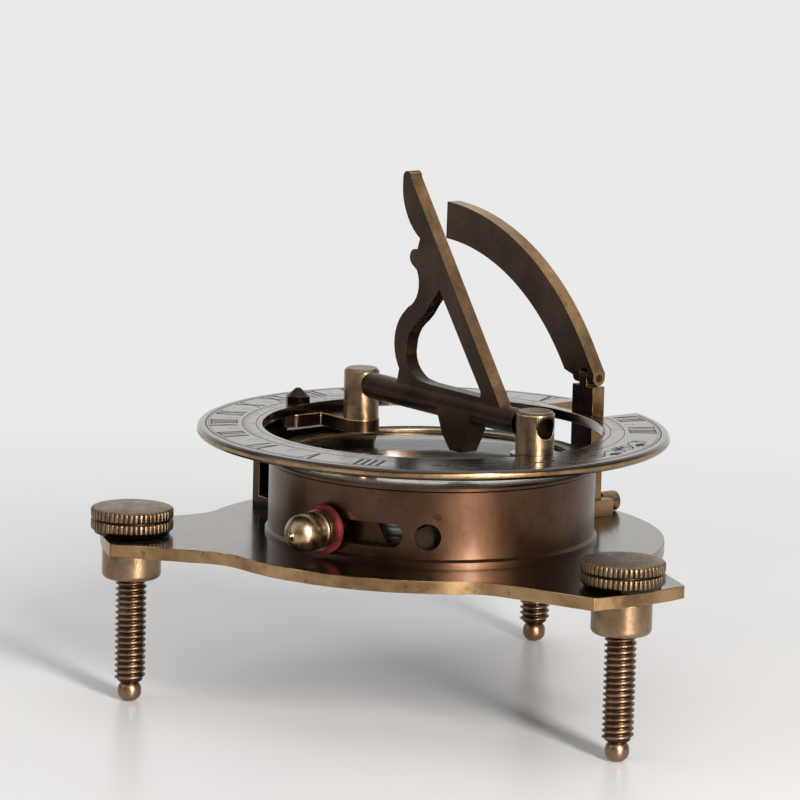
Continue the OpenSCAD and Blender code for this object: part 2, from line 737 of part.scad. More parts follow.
// Outline of the gnomon as (y, height above the pivot): a straight style edge, an arched nape,
// a bead, a hollow neck and a round belly
function gnomon_outline() = gnomon_k * concat([[11.8, 0], [-23.2, 0], [-23.2, 2], [8, 46.6]],
    arc_pts([9.3, 46.5], 1.4, 140, 0, 6), arc_pts([-1.6, 45], 12.4, -6, -61, 8),
    arc_pts([5.9, 29.9], 1.85, 110, -60, 8), arc_pts([10.2, 24.4], 5.8, 150, 247, 8),
    arc_pts([3.4, 11], 9, 50, -38, 10));
function window_outline() = gnomon_k * concat([[-17.4, 3.6], [-17.6, 4.6], [-3.9, 22.6],
    [-2.9, 20.4], [-1.6, 18.6], [0.3, 17.2]], arc_pts([-2.5, 10.7], 7, 55, -90, 12));
function lug_outline() = gnomon_k * [[-3, 0], [-17, 0], [-14.5, -6], [-12.5, -9], [-8, -9], [-5, -6]];

module gnomon() {
    color("#5d4229") {
        translate([0, 0, pivot_z]) difference() {
            union() {
                upright(-gnomon_t / 2, gnomon_t) polygon(gnomon_outline());
                upright(-bar_d / 2, bar_d) polygon(lug_outline());
                along_y(0, 0, bar_y0, bar_y1, bar_d);
            }
            upright(-over - bar_d, 2 * (over + bar_d)) polygon(window_outline());
        }
        along_y(0, pivot_z, -post_s_y - post_s_d / 2 + trunnion_sunk, bar_y0 + eps, trunnion_d);
        along_y(0, pivot_z, bar_y1 - eps, post_n_y + post_n_d / 2 - trunnion_sunk, trunnion_d);
    }
}

module arc_post() {
    x0 = arc_x - arc_t / 2;
    tenon_mid = arc_y0 + arc_w / 2;
    shoulder_z = arc_joint_z - arc_t / 2 - run_gap;
    foot_y0 = arc_y0 - arc_foot_side;
    foot_w = arc_w + 2 * arc_foot_side;
    color("#4b3728") difference() {
        union() {
            translate([x0, arc_y0, plate_top]) cube([arc_t, arc_w, shoulder_z - plate_top]);
            translate([x0, foot_y0, plate_top]) cube([arc_t + arc_foot_out, foot_w, arc_foot_t]);
            translate([x0, tenon_mid - tenon_half, shoulder_z - eps])
                cube([arc_t, 2 * tenon_half, arc_joint_z - shoulder_z + eps]);
            along_y(arc_x, arc_joint_z, tenon_mid - tenon_half, tenon_mid + tenon_half, arc_t);
        }
        along_y(arc_x, arc_joint_z, arc_y0, arc_y0 + arc_w, arc_pin_d);
        along_x(tenon_mid, clamp_z(), x0 - over, x0 + arc_t + arc_foot_out + over, clamp_shank_d);
    }
}

function clamp_z() = plate_top + clamp_rise;

module arc_clamp_screw() {
    x0 = arc_x - arc_t / 2;
    x1 = x0 + arc_t + arc_foot_out;
    y = arc_y0 + arc_w / 2;
    color("#8a6f45") {
        along_x(y, clamp_z(), x0, x1, clamp_shank_d);
        difference() {
            along_x(y, clamp_z(), x1, x1 + clamp_len, clamp_d);
            translate([x1 + clamp_len - clamp_slot_h, y - clamp_slot_w / 2, clamp_z() - clamp_d])
                cube([over, clamp_slot_w, 2 * clamp_d]);
        }
    }
}

module arc_pin() {
    color("#9a7d4c") along_y(arc_x, arc_joint_z, arc_y0, arc_y0 + arc_w, arc_pin_d);
}

// The arc's fork straddles the post's tenon, then its edge runs into the quarter circle
module latitude_arc() {
    centre = [hinge_y, hinge_z];
    a0 = 180 - arc_start;
    a1 = 180 - arc_end;
    z0 = arc_joint_z;
    tenon_mid = arc_y0 + arc_w / 2;
    clear_r = norm([arc_t, arc_t]) / 2 + run_gap;
    slot_half = tenon_half + fork_gap;
    color("#5b442c") difference() {
        union() {
            upright(arc_x - arc_t / 2, arc_t) polygon(concat([[arc_y0 + arc_w, z0], [arc_y0, z0],
                [arc_y0, z0 + over]], arc_pts(centre, arc_ro, a0, a1, 40),
                arc_pts(centre, arc_ri, a1, a0, 36)));
            along_y(arc_x, z0, arc_y0, arc_y0 + arc_w, arc_t);
        }
        along_y(arc_x, z0, tenon_mid - slot_half, tenon_mid + slot_half, 2 * clear_r);
        translate([arc_x - arc_t, tenon_mid - slot_half, z0 - arc_t])
            cube([2 * arc_t, 2 * slot_half, arc_t]);
        along_y(arc_x, z0, arc_y0 - over, arc_y0 + arc_w + over, arc_pin_d + 2 * pin_gap);
    }
}

base_plate();
leg_bushes();
levelling_rod_south();
levelling_knob_south();
levelling_rod_east();
levelling_knob_east();
levelling_rod_west();
levelling_knob_west();
drum_shell();
drum_screws();
dial_plate();
dial_screws();
compass_card();
pivot_post();
needle();
needle_cap();
glass();
glass_ring();
lift_sleeve();
lift_lever();
lever_bracket();
lever_pin();
lock_strip();
lock_stud();
lock_washer();
lock_collar();
lock_acorn();
hinge_bracket();
bracket_screws();
hinge_pin();
hour_ring();
hinge_leaf();
leaf_screws();
post_south();
post_north();
gnomon();
arc_post();
arc_clamp_screw();
arc_pin();
latitude_arc();
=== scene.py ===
# %% [markdown]
# # A bronze sundial compass on three levelling screws
# The real thing is a palm-sized instrument of lacquered, antiqued brass. A trefoil plate stands on
# three screws. It carries a compass in a drum, a hinged hour ring with a folding gnomon, and an arc
# that shows the latitude. The solids come ready made from the CAD step, so this lesson is about the
# things a CAD model lacks: worn edges, threads, knurls, engraving, stains, scratches and light.

# %% Load the model as a fixed frame
import json
import math

import bmesh
import bpy
import numpy as np
from mathutils import Matrix, Vector


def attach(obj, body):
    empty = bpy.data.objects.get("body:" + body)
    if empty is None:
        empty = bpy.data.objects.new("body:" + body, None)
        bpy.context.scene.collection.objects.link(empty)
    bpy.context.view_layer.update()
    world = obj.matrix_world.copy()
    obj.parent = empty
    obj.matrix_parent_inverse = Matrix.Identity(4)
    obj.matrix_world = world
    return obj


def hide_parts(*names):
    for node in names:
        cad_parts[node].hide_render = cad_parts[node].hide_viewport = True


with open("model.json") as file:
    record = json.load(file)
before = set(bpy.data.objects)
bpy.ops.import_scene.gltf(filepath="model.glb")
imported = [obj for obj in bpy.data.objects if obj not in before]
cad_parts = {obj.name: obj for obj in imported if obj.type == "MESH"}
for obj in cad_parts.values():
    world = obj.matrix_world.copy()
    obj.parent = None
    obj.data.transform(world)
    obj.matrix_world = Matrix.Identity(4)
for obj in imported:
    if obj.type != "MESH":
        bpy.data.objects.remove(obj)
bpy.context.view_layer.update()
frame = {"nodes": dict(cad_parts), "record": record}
NODES = frame["nodes"]
BODY_OF_NODE = {}
for body, members in frame["record"]["behaviour"]["bodies"].items():
    for member in members:
        BODY_OF_NODE[member] = body
MM = 0.001

# %% [markdown]
# ## The camera
# The photograph was taken from about a metre away with a long lens, a little above the ring. The
# numbers below were solved once from points that are easy to find both in the picture and in the
# model, such as the feet and the ends of the ring. A lens in millimetres comes from a focal length in
# pixels: millimetres = pixels x sensor width / picture width.

# %% Put the camera where the photographer stood
PICTURE_PX = 800
FOCAL_PX = 5036.14
AXIS_PX = (395.89, 400.34)
SENSOR_MM = 36.0
EYE = Vector((-0.644824, -0.825337, 0.251226))
LOOK = Vector((0.60009, 0.78042, -0.17562)).normalized()
RIGHT = Vector((0.79517, -0.60588, 0.02470))
RIGHT = (RIGHT - LOOK * RIGHT.dot(LOOK)).normalized()
UP = RIGHT.cross(LOOK)


def place_camera():
    """Builds the camera's matrix from its own right, up and backward directions."""
    data = bpy.data.cameras.new("camera")
    data.sensor_width = SENSOR_MM
    data.lens = FOCAL_PX * SENSOR_MM / PICTURE_PX
    data.shift_x = (PICTURE_PX / 2 - AXIS_PX[0]) / PICTURE_PX
    data.shift_y = (AXIS_PX[1] - PICTURE_PX / 2) / PICTURE_PX
    data.clip_start = 0.05
    data.clip_end = 40.0
    camera = bpy.data.objects.new("camera", data)
    axes = Matrix((RIGHT, UP, -LOOK)).transposed().to_4x4()
    camera.matrix_world = Matrix.Translation(EYE) @ axes
    bpy.context.scene.collection.objects.link(camera)
    bpy.context.scene.camera = camera
    return camera


camera = place_camera()
print("lens in mm:", round(camera.data.lens, 1), "distance in m:", round(EYE.length, 3))

# %% [markdown]
# ## Small helpers for node materials
# Every finish here is a tree of nodes. Written out in full, a tree takes dozens of lines, so small
# helpers add a node and fill its sockets. Every finish begins with new_paint and ends with
# finish_paint, and in between it only says how its colour, roughness and height come about.

# %% Helpers that add nodes and fill their sockets


def fill(tree, node, sockets):
    """Sets inputs by name or number. A value that is another node's socket becomes a link."""
    for key, value in sockets.items():
        if isinstance(value, bpy.types.NodeSocket):
            tree.links.new(value, node.inputs[key])
        else:
            node.inputs[key].default_value = value


def add_node(tree, kind, sockets=None, **settings):
    """Adds one node, makes its settings and then fills its sockets."""
    node = tree.nodes.new(kind)
    for name, value in settings.items():
        setattr(node, name, value)
    fill(tree, node, sockets or {})
    return node


def mix_colours(tree, amount, first, second):
    """Mixes two colours by amount, which is 0 for the first and 1 for the second."""
    return add_node(tree, "ShaderNodeMix", {0: amount, 6: first, 7: second}, data_type="RGBA").outputs[2]


def spread(tree, value, low, high, new_low=0.0, new_high=1.0):
    """Maps the range low to high of a value on to a new range, and cuts off what lies outside."""
    sockets = {0: value, 1: low, 2: high, 3: new_low, 4: new_high}
    return add_node(tree, "ShaderNodeMapRange", sockets).outputs[0]


def maths(tree, operation, first, second=0.0):
    """One sum on two numbers."""
    return add_node(tree, "ShaderNodeMath", {0: first, 1: second}, operation=operation).outputs[0]


def vector(tree, operation, first, second=(0.0, 0.0, 0.0), output=0):
    """One sum on two vectors. Output 0 is a vector and output 1 a number, such as a length."""
    return add_node(tree, "ShaderNodeVectorMath", {0: first, 1: second}, operation=operation).outputs[output]


def noise(tree, where, scale, detail, **more):
    """A cloudy pattern, whose patches are about 1 / scale metres across."""
    sockets = {"Vector": where, "Scale": scale, "Detail": detail, **more}
    return add_node(tree, "ShaderNodeTexNoise", sockets).outputs[0]


def new_paint(name):
    """An empty node material, its tree and its Object coordinates."""
    paint = bpy.data.materials.new(name)
    paint.use_nodes = True
    tree = paint.node_tree
    return paint, tree, add_node(tree, "ShaderNodeTexCoord").outputs["Object"]


def finish_paint(paint, height, strength, depth, sockets, normal=None):
    """Fills the paint's shader. height becomes a bump of a strength and a depth in metres."""
    tree = paint.node_tree
    bump = add_node(tree, "ShaderNodeBump", {"Height": height, "Strength": strength, "Distance": depth})
    if normal is not None:
        fill(tree, bump, {"Normal": normal})
    fill(tree, tree.nodes["Principled BSDF"], {"Normal": bump.outputs[0], **sockets})
    return paint


print("helpers ready")

# %% [markdown]
# ## The room
# Metal shows its surroundings more than itself, so the room matters as much as the finish. The
# photograph was taken in a dim room with a pale wall behind the object and a window on the right. A
# sky made of two gradients gives that: pale ahead of the camera and overhead, and dim at the sides and
# behind the camera. Stray light comes evenly from all round, so that the table keeps an even tone. The
# camera's own rays see a plain pale backdrop in every direction.

# %% Build the room that the metal reflects
BACKDROP = (0.82, 0.82, 0.815, 1.0)
ROOM_PALE = (0.80, 0.79, 0.77, 1.0)
ROOM_DIM = (0.07, 0.060, 0.055, 1.0)
STRAY_LIGHT = 0.62


def seen_by_eye(tree):
    """1 for a ray from the camera or from a mirror or glass, and 0 for stray light."""
    path = add_node(tree, "ShaderNodeLightPath").outputs
    passed_on = maths(tree, "MAXIMUM", path["Is Glossy Ray"], path["Is Transmission Ray"])
    return maths(tree, "MAXIMUM", passed_on, path["Is Camera Ray"])


def build_room():
    """A dot product with a direction says how far a ray points that way, from -1 to 1."""
    world = bpy.data.worlds.new("room")
    world.use_nodes = True
    tree = world.node_tree
    tree.nodes.clear()
    ray = add_node(tree, "ShaderNodeTexCoord").outputs["Generated"]
    ahead = Vector((LOOK.x, LOOK.y, 0.15)).normalized()
    wall = spread(tree, vector(tree, "DOT_PRODUCT", ray, ahead, 1), 0.20, 0.80)
    height = add_node(tree, "ShaderNodeSeparateXYZ", {0: ray}).outputs["Z"]
    overhead = spread(tree, height, 0.25, 0.70, 0.0, 0.7)
    room = mix_colours(tree, maths(tree, "MAXIMUM", wall, overhead), ROOM_DIM, ROOM_PALE)
    room = mix_colours(tree, seen_by_eye(tree), ROOM_PALE, room)
    direct = add_node(tree, "ShaderNodeLightPath").outputs["Is Camera Ray"]
    seen = mix_colours(tree, direct, room, BACKDROP)
    strength = spread(tree, seen_by_eye(tree), 0.0, 1.0, STRAY_LIGHT, 1.0)
    sky = add_node(tree, "ShaderNodeBackground", {"Color": seen, "Strength": strength})
    add_node(tree, "ShaderNodeOutputWorld", {"Surface": sky.outputs[0]})
    bpy.context.scene.world = world
    bpy.context.scene.view_settings.view_transform = "Standard"


build_room()
print("room built, view transform:", bpy.context.scene.view_settings.view_transform)

# %% [markdown]
# ## Lamps
# Three area lamps stand for a window, a ceiling and a bounce. Large lamps make soft shadows and long
# highlights. The window is tall and narrow and stands to the right of the camera, so that the drum
# shows it as one bright upright band and stays dark on either side.

# %% Hang three soft lamps


def hang_lamp(name, place, target, width, height, watts, colour):
    """An area lamp at a place, turned so that its own -Z axis points at the target."""
    data = bpy.data.lights.new(name, "AREA")
    data.shape = "RECTANGLE"
    data.size = width
    data.size_y = height
    data.energy = watts
    data.color = colour
    lamp = bpy.data.objects.new(name, data)
    lamp.location = place
    lamp.rotation_euler = (Vector(target) - Vector(place)).to_track_quat("-Z", "Y").to_euler()
    bpy.context.scene.collection.objects.link(lamp)


def beside_camera(azimuth, distance, height):
    """A place at an angle to the right of the camera's direction, as seen from the object."""
    back = math.atan2(-LOOK.y, -LOOK.x) + math.radians(azimuth)
    return (distance * math.cos(back), distance * math.sin(back), height)


CENTRE = (0.0, 0.0, 0.055)
hang_lamp("window", beside_camera(27.0, 1.1, 0.40), CENTRE, 0.17, 0.85, 27.0, (1.0, 0.96, 0.90))
hang_lamp("ceiling", (0.12, -0.06, 1.25), CENTRE, 1.3, 1.3, 4.0, (1.0, 0.99, 0.97))
hang_lamp("bounce", beside_camera(-75.0, 1.1, 0.5), CENTRE, 0.7, 0.7, 1.5, (0.95, 0.97, 1.0))

# %% [markdown]
# ## The table
# A plain pale table with a faint unevenness. A table that runs far back would grow dim, because the
# lamps are near the object. So a little way out it fades into the backdrop's own colour, at a
# strength of 1, but only for rays that end in the eye: the light on the object stays as it was.

# %% Lay the table
TABLE_HALF = 6.0
TABLE_COLOUR = (0.60, 0.60, 0.625, 1.0)
TABLE_CLOUD = (0.64, 0.64, 0.65, 1.0)
FADE_FROM = 0.10
FADE_TO = 0.32


def lay_table():
    """One square facing up at height 0."""
    mesh = bpy.data.meshes.new("table")
    corners = [(x * TABLE_HALF, y * TABLE_HALF, 0.0) for x, y in ((-1, -1), (1, -1), (1, 1), (-1, 1))]
    mesh.from_pydata(corners, [], [(0, 1, 2, 3)])
    table = bpy.data.objects.new("table", mesh)
    bpy.context.scene.collection.objects.link(table)
    paint, tree, where = new_paint("pale_table")
    shader = tree.nodes["Principled BSDF"]
    tone = spread(tree, noise(tree, where, 9.0, 4.0), 0.3, 0.7)
    colour = mix_colours(tree, tone, TABLE_COLOUR, TABLE_CLOUD)
    fill(tree, shader, {"Base Color": colour, "Roughness": 0.32, "Specular IOR Level": 0.35})
    reach = vector(tree, "LENGTH", where, output=1)
    far = maths(tree, "MULTIPLY", spread(tree, reach, FADE_FROM, FADE_TO), seen_by_eye(tree))
    haze = add_node(tree, "ShaderNodeEmission", {"Color": BACKDROP, "Strength": 1.0})
    both = add_node(tree, "ShaderNodeMixShader", {0: far, 1: shader.outputs[0], 2: haze.outputs[0]})
    fill(tree, tree.nodes["Material Output"], {"Surface": both.outputs[0]})
    mesh.materials.append(paint)


lay_table()
print("table laid at z = 0")

# %% [markdown]
# ## Antiqued bronze
# The maker darkens brass with a chemical bath, rubs it back and lacquers it. So the colour is a dark
# brown that thins out to red-brown in clouds, with small dark specks, and fine rubbing scratches lie
# in the lacquer. Three noises of different size give the clouds, the specks and the scratches. Thin
# lacquer is the shader's coat, which is what turns the flat tops grey at a low angle.

# %% The bronze finish


def round_wall(tree, where):
    """The normal, but exactly radial where the facet lies nearly so: a turned wall then looks round."""
    radial = vector(tree, "NORMALIZE", vector(tree, "MULTIPLY", where, (1.0, 1.0, 0.0)))
    shape = add_node(tree, "ShaderNodeNewGeometry").outputs
    match = vector(tree, "DOT_PRODUCT", radial, shape["True Normal"], 1)
    on_wall = maths(tree, "GREATER_THAN", match, WALL_MATCH)
    choice = {0: on_wall, 4: shape["Normal"], 5: radial}
    return add_node(tree, "ShaderNodeMix", choice, data_type="VECTOR").outputs[1]


def bronze(name, dark, light, rough=(0.24, 0.42), grain=(1.0, 1.0, 1.0), cloud=55.0, coat=0.35,
           scratch=0.35, spot=0.5, turned=False):
    """Clouds mix dark and light, specks darken them, stretched noise scratches the roughness."""
    paint, tree, where = new_paint(name)
    tone = spread(tree, noise(tree, where, cloud, 7.0, Roughness=0.62, Distortion=0.4), 0.36, 0.64)
    speck = spread(tree, noise(tree, where, 620.0, 3.0), 0.60, 0.72, 0.0, spot)
    colour = mix_colours(tree, tone, dark, light)
    colour = mix_colours(tree, speck, colour, tuple(0.35 * c for c in dark[:3]) + (1.0,))
    stretched = add_node(tree, "ShaderNodeMapping", {"Vector": where, "Scale": grain}).outputs[0]
    hair = spread(tree, noise(tree, stretched, 900.0, 4.0, Roughness=0.7), 0.35, 0.7)
    wear = maths(tree, "ADD", maths(tree, "MULTIPLY", tone, 0.45), maths(tree, "MULTIPLY", hair, 0.55))
    height = maths(tree, "ADD", maths(tree, "MULTIPLY", hair, scratch), maths(tree, "MULTIPLY", tone, 0.25))
    return finish_paint(paint, height, 0.35, 0.00006, {
        "Base Color": colour, "Roughness": spread(tree, wear, 0.1, 0.9, *rough), "Metallic": 1.0,
        "Coat Weight": coat, "Coat Roughness": 0.14, "Coat IOR": 1.5,
    }, round_wall(tree, where) if turned else None)


WALL_MATCH = 0.9995
BROWN_DARK = (0.022, 0.011, 0.006, 1.0)
BROWN_LIGHT = (0.065, 0.034, 0.018, 1.0)
DRUM_DARK = (0.055, 0.026, 0.014, 1.0)
DRUM_LIGHT = (0.120, 0.062, 0.035, 1.0)
BRASS_DARK = (0.105, 0.064, 0.036, 1.0)
BRASS_LIGHT = (0.310, 0.205, 0.120, 1.0)
RIM_DARK = (0.200, 0.112, 0.050, 1.0)
RIM_LIGHT = (0.420, 0.265, 0.130, 1.0)
STYLE_DARK = (0.160, 0.088, 0.042, 1.0)
STYLE_LIGHT = (0.340, 0.205, 0.105, 1.0)
# painted shade: the near-black inside colours stand for the dark in bores, holes and deep in the drum
INSIDE_SHADE_DARK = (0.012, 0.009, 0.007, 1.0)
INSIDE_SHADE_LIGHT = (0.040, 0.028, 0.020, 1.0)

PAINTS = {
    "plate": bronze("dark_bronze_plate", BROWN_DARK, BROWN_LIGHT, (0.14, 0.30), (1, 14, 1), 38.0, 0.9),
    "drum": bronze("dark_bronze_drum", DRUM_DARK, DRUM_LIGHT, (0.28, 0.42), (0.6, 0.6, 16), 45.0, 0.15,
                   0.25, 0.3, turned=True),
    "ring": bronze("polished_bronze_ring", BROWN_DARK, BROWN_LIGHT, (0.12, 0.26), (10, 1, 1), 60.0, 1.0),
    "gnomon": bronze("dark_bronze_gnomon", BROWN_DARK, BROWN_LIGHT, (0.26, 0.40), (1, 1, 9), 60.0, 0.12),
    "brass": bronze("worn_brass_fittings", BRASS_DARK, BRASS_LIGHT, (0.24, 0.42), (1, 1, 9), 110.0, 0.2),
    "rim": bronze("rubbed_bronze_rim", RIM_DARK, RIM_LIGHT, (0.26, 0.44), (1, 1, 1), 90.0, 0.2),
    "style": bronze("rubbed_style_edge", STYLE_DARK, STYLE_LIGHT, (0.26, 0.44), (1, 1, 1), 90.0, 0.1),
    # painted shade: near-black for bores, holes and parts deep in the drum
    "inside": bronze("painted_shade_inside", INSIDE_SHADE_DARK, INSIDE_SHADE_LIGHT, (0.45, 0.65), (1, 1, 1), 90.0, 0.0,
                     turned=True),
}
print("bronze paints:", sorted(PAINTS))

# %% [markdown]
# ## Rubbed edges
# Hands and cloths rub the dark colour off every edge first, and golden brass shows through. A real
# bevel on a copy of the CAD mesh gives the edge its width and its glint, and the bevel's faces take a
# second material. That material is only partly golden: a noise decides where the rubbing reached.
# A third material goes on the narrow sides of plates, which are rubbed too. In bores and holes it is
# a near-black one instead: painted shade, for the dark that falls in them.

# %% The rubbed-edge finish


def rubbed_edge(name, dark, gold):
    """Noise mixes the dark finish and bare gold-coloured metal along an edge."""
    paint, tree, where = new_paint(name)
    bare = spread(tree, noise(tree, where, 150.0, 6.0), 0.40, 0.60)
    fine = noise(tree, where, 1500.0, 2.0)
    return finish_paint(paint, fine, 0.25, 0.00004, {
        "Base Color": mix_colours(tree, bare, dark, gold), "Metallic": 1.0,
        "Roughness": spread(tree, fine, 0.3, 0.7, 0.24, 0.40)})


GOLD_RUB = (0.640, 0.430, 0.220, 1.0)
COPPER_RUB = (0.470, 0.290, 0.175, 1.0)
EDGES = {
    "dark": rubbed_edge("rubbed_dark_edge", BROWN_LIGHT, GOLD_RUB),
    "copper": rubbed_edge("rubbed_copper_edge", DRUM_LIGHT, COPPER_RUB),
    "brass": rubbed_edge("rubbed_brass_edge", BRASS_LIGHT, (0.760, 0.580, 0.320, 1.0)),
}
print("edge paints:", sorted(EDGES))

# %% [markdown]
# ## The latitude arc's own curve
# The CAD arc is a plain quarter circle about the ring's hinge. The real one was bent a little
# flatter and is a little broader. Its points are moved from the one circle to the other: the share of
# the way round and the share of the width stay the same, and the fork at the foot stays as it is.

# %% Bend the arc from the CAD circle to the real one
CAD_ARC = {"y": 42.0, "z": 54.6, "inner": 40.0, "outer": 47.0, "from": 22.0, "to": 94.0}
TRUE_ARC = {"y": 48.58, "z": 37.50, "inner": 52.81, "outer": 61.05, "from": 34.3, "to": 89.0}
FORK_END = -0.01


def points_of(mesh):
    """The points of a mesh in millimetres, as an array."""
    points = np.empty(len(mesh.vertices) * 3)
    mesh.vertices.foreach_get("co", points)
    return points.reshape(-1, 3) / MM


def move_points(mesh, points):
    """Puts an array of points in millimetres back into its mesh."""
    mesh.vertices.foreach_set("co", (points * MM).ravel())
    mesh.update()


def bend_arc(mesh):
    """angle and radius about the one centre are stretched evenly to angle and radius about the other."""
    points = points_of(mesh)
    y = CAD_ARC["y"] - points[:, 1]
    z = points[:, 2] - CAD_ARC["z"]
    way = (np.degrees(np.arctan2(z, y)) - CAD_ARC["from"]) / (CAD_ARC["to"] - CAD_ARC["from"])
    width = (np.hypot(y, z) - CAD_ARC["inner"]) / (CAD_ARC["outer"] - CAD_ARC["inner"])
    angle = np.radians(TRUE_ARC["from"] + way * (TRUE_ARC["to"] - TRUE_ARC["from"]))
    radius = TRUE_ARC["inner"] + width * (TRUE_ARC["outer"] - TRUE_ARC["inner"])
    bent = np.stack([points[:, 0], TRUE_ARC["y"] - radius * np.cos(angle),
                     TRUE_ARC["z"] + radius * np.sin(angle)], axis=1)
    on_arc = way > FORK_END
    shift = np.linalg.norm(bent - points, axis=1)[on_arc]
    points[on_arc] = bent[on_arc]
    move_points(mesh, points)
    print("arc points moved:", int(on_arc.sum()), "at most", round(float(shift.max()), 1), "mm")


# %% [markdown]
# ## The gnomon's opening
# Seen from the left, the wall inside the opening is in view and makes the bow look thicker than it
# is. The real bow is slender: its opening reaches further out than in the CAD plate. So the points of
# the opening are moved one by one, the style's foot moves out a little, and the lug under the bar is
# drawn in. The pivots end a little deeper in their posts, so that the holes look dark. Each point keeps
# its neighbours, so the mesh stays closed.

# %% Open the bow and draw in the lug
PIVOT_Z = 64.5
OPENING_FOOT = [(-17.4, 3.6), (-17.6, 4.6), (-3.9, 22.6), (-2.9, 20.4), (-1.6, 18.6), (0.3, 17.2)]
OPENING_BELLY = {"y": -2.5, "rise": 10.7, "r": 7.0, "from": 55.0, "to": -90.0, "steps": 12}
OPENING_TRUE = np.array((
    (-17.4, 3.6), (-17.6, 4.6), (-2.7, 24.2), (0.9, 20.2), (2.6, 18.0), (4.2, 16.5), (5.4, 15.6),
    (6.5, 14.6), (7.3, 13.4), (7.9, 12.1), (8.2, 10.6), (8.35, 9.2), (8.1, 7.8), (7.4, 6.5), (6.4, 5.5),
    (5.2, 4.7), (3.9, 4.1), (2.2, 3.9), (0.2, 3.7)))
SAME_POINT = 0.12
STYLE_LOW = (-23.2, 2.0)
STYLE_HIGH = (8.0, 46.6)
STYLE_FOOT_TOP = 6.0
STYLE_FOOT_SHIFT = -1.4
LUG_Y = -10.0
LUG_HALF = 7.2
LUG_NARROW = 0.86
LUG_THIN = 0.75
LUG_THIN_FROM = -5.0
TRUNNION_ENDS = (-36.5, 27.8)
TRUNNION_SINK = 2.2


def opening_of_cad():
    """The straight run of the opening, then its belly: centre + r (cos a, sin a)."""
    b = OPENING_BELLY
    a = np.radians(np.linspace(b["from"], b["to"], b["steps"] + 1))
    belly = np.stack([b["y"] + b["r"] * np.cos(a), b["rise"] + b["r"] * np.sin(a)], axis=1)
    return np.concatenate([OPENING_FOOT, belly])


def refine_gnomon(mesh):
    """Each point that lies on the CAD opening takes the place of the matching true point."""
    points = points_of(mesh)
    flat = points[:, 1:] - (0.0, PIVOT_Z)
    gap = np.linalg.norm(flat[:, None, :] - opening_of_cad()[None, :, :], axis=2)
    on_opening = gap.min(axis=1) < SAME_POINT
    lug = (flat[:, 1] < 0.01) & (np.abs(flat[:, 0] - LUG_Y) < LUG_HALF)
    along = (flat[:, 1] - STYLE_LOW[1]) / (STYLE_HIGH[1] - STYLE_LOW[1])
    off_style = np.abs(flat[:, 0] - STYLE_LOW[0] - along * (STYLE_HIGH[0] - STYLE_LOW[0]))
    foot = (off_style < SAME_POINT) & (flat[:, 1] < STYLE_FOOT_TOP)
    flat[on_opening] = OPENING_TRUE[gap.argmin(axis=1)[on_opening]]
    flat[lug, 0] = LUG_Y + (flat[lug, 0] - LUG_Y) * LUG_NARROW
    flat[flat[:, 0] < TRUNNION_ENDS[0], 0] += TRUNNION_SINK
    flat[flat[:, 0] > TRUNNION_ENDS[1], 0] -= TRUNNION_SINK
    flat[foot, 0] += STYLE_FOOT_SHIFT
    points[:, 0] = np.where(lug & (flat[:, 1] < LUG_THIN_FROM), points[:, 0] * LUG_THIN, points[:, 0])
    points[:, 1:] = flat + (0.0, PIVOT_Z)
    move_points(mesh, points)
    print("gnomon points moved:", int(on_opening.sum()), "opening,", int(lug.sum()), "lug,",
          int(foot.sum()), "foot")


RESHAPED = {"latitude_arc": bend_arc, "gnomon": refine_gnomon}

# %% [markdown]
# ## Softened copies of the CAD parts
# Bevelling by hand is one way, and a bevel in the shader is another, but only a bevel in the mesh is
# kept when the model is exported. The CAD mesh is loose triangles, so the copy is first merged, and
# its flat triangles are joined into whole faces. Then the bevel finds only the true edges.

# %% A helper that makes a softened copy
EDGE_ANGLE = math.radians(32.0)
FLAT_ANGLE = math.radians(0.4)
MERGE_GAP = 0.000002


def whole_faces(source):
    """A copy of a CAD mesh, merged by distance, with flat neighbours joined into one face."""
    mesh = source.data.copy()
    work = bmesh.new()
    work.from_mesh(mesh)
    bmesh.ops.remove_doubles(work, verts=work.verts, dist=MERGE_GAP)
    bmesh.ops.dissolve_limit(work, angle_limit=FLAT_ANGLE, verts=work.verts, edges=work.edges)
    for face in work.faces:
        face.smooth = True
        face.material_index = 0
    work.to_mesh(mesh)
    work.free()
    return mesh


def finish_piece(name, mesh, paints, body):
    """Makes the object at the origin, gives it its materials, and lets it ride on a CAD body."""
    mesh.materials.clear()
    for paint in paints:
        mesh.materials.append(paint)
    piece = bpy.data.objects.new(name, mesh)
    bpy.context.scene.collection.objects.link(piece)
    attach(piece, body)
    return piece


RIM_TILT = 0.35
# the lock strip's faces beyond this azimuth lie behind the drum's round hole and get painted shade
DARK_FROM = -138.0
BORE_R = 33.2
OUTSIDE_R = 41.2
PIVOT_HOLE_R = 2.6
STYLE_NEAR = 1.2
STYLE_POINT = Vector((0.0, STYLE_LOW[0] + STYLE_FOOT_SHIFT, PIVOT_Z + STYLE_LOW[1])) * MM
STYLE_OUT = Vector((0.0, STYLE_LOW[1] - STYLE_HIGH[1], STYLE_HIGH[0] - STYLE_LOW[0])).normalized()


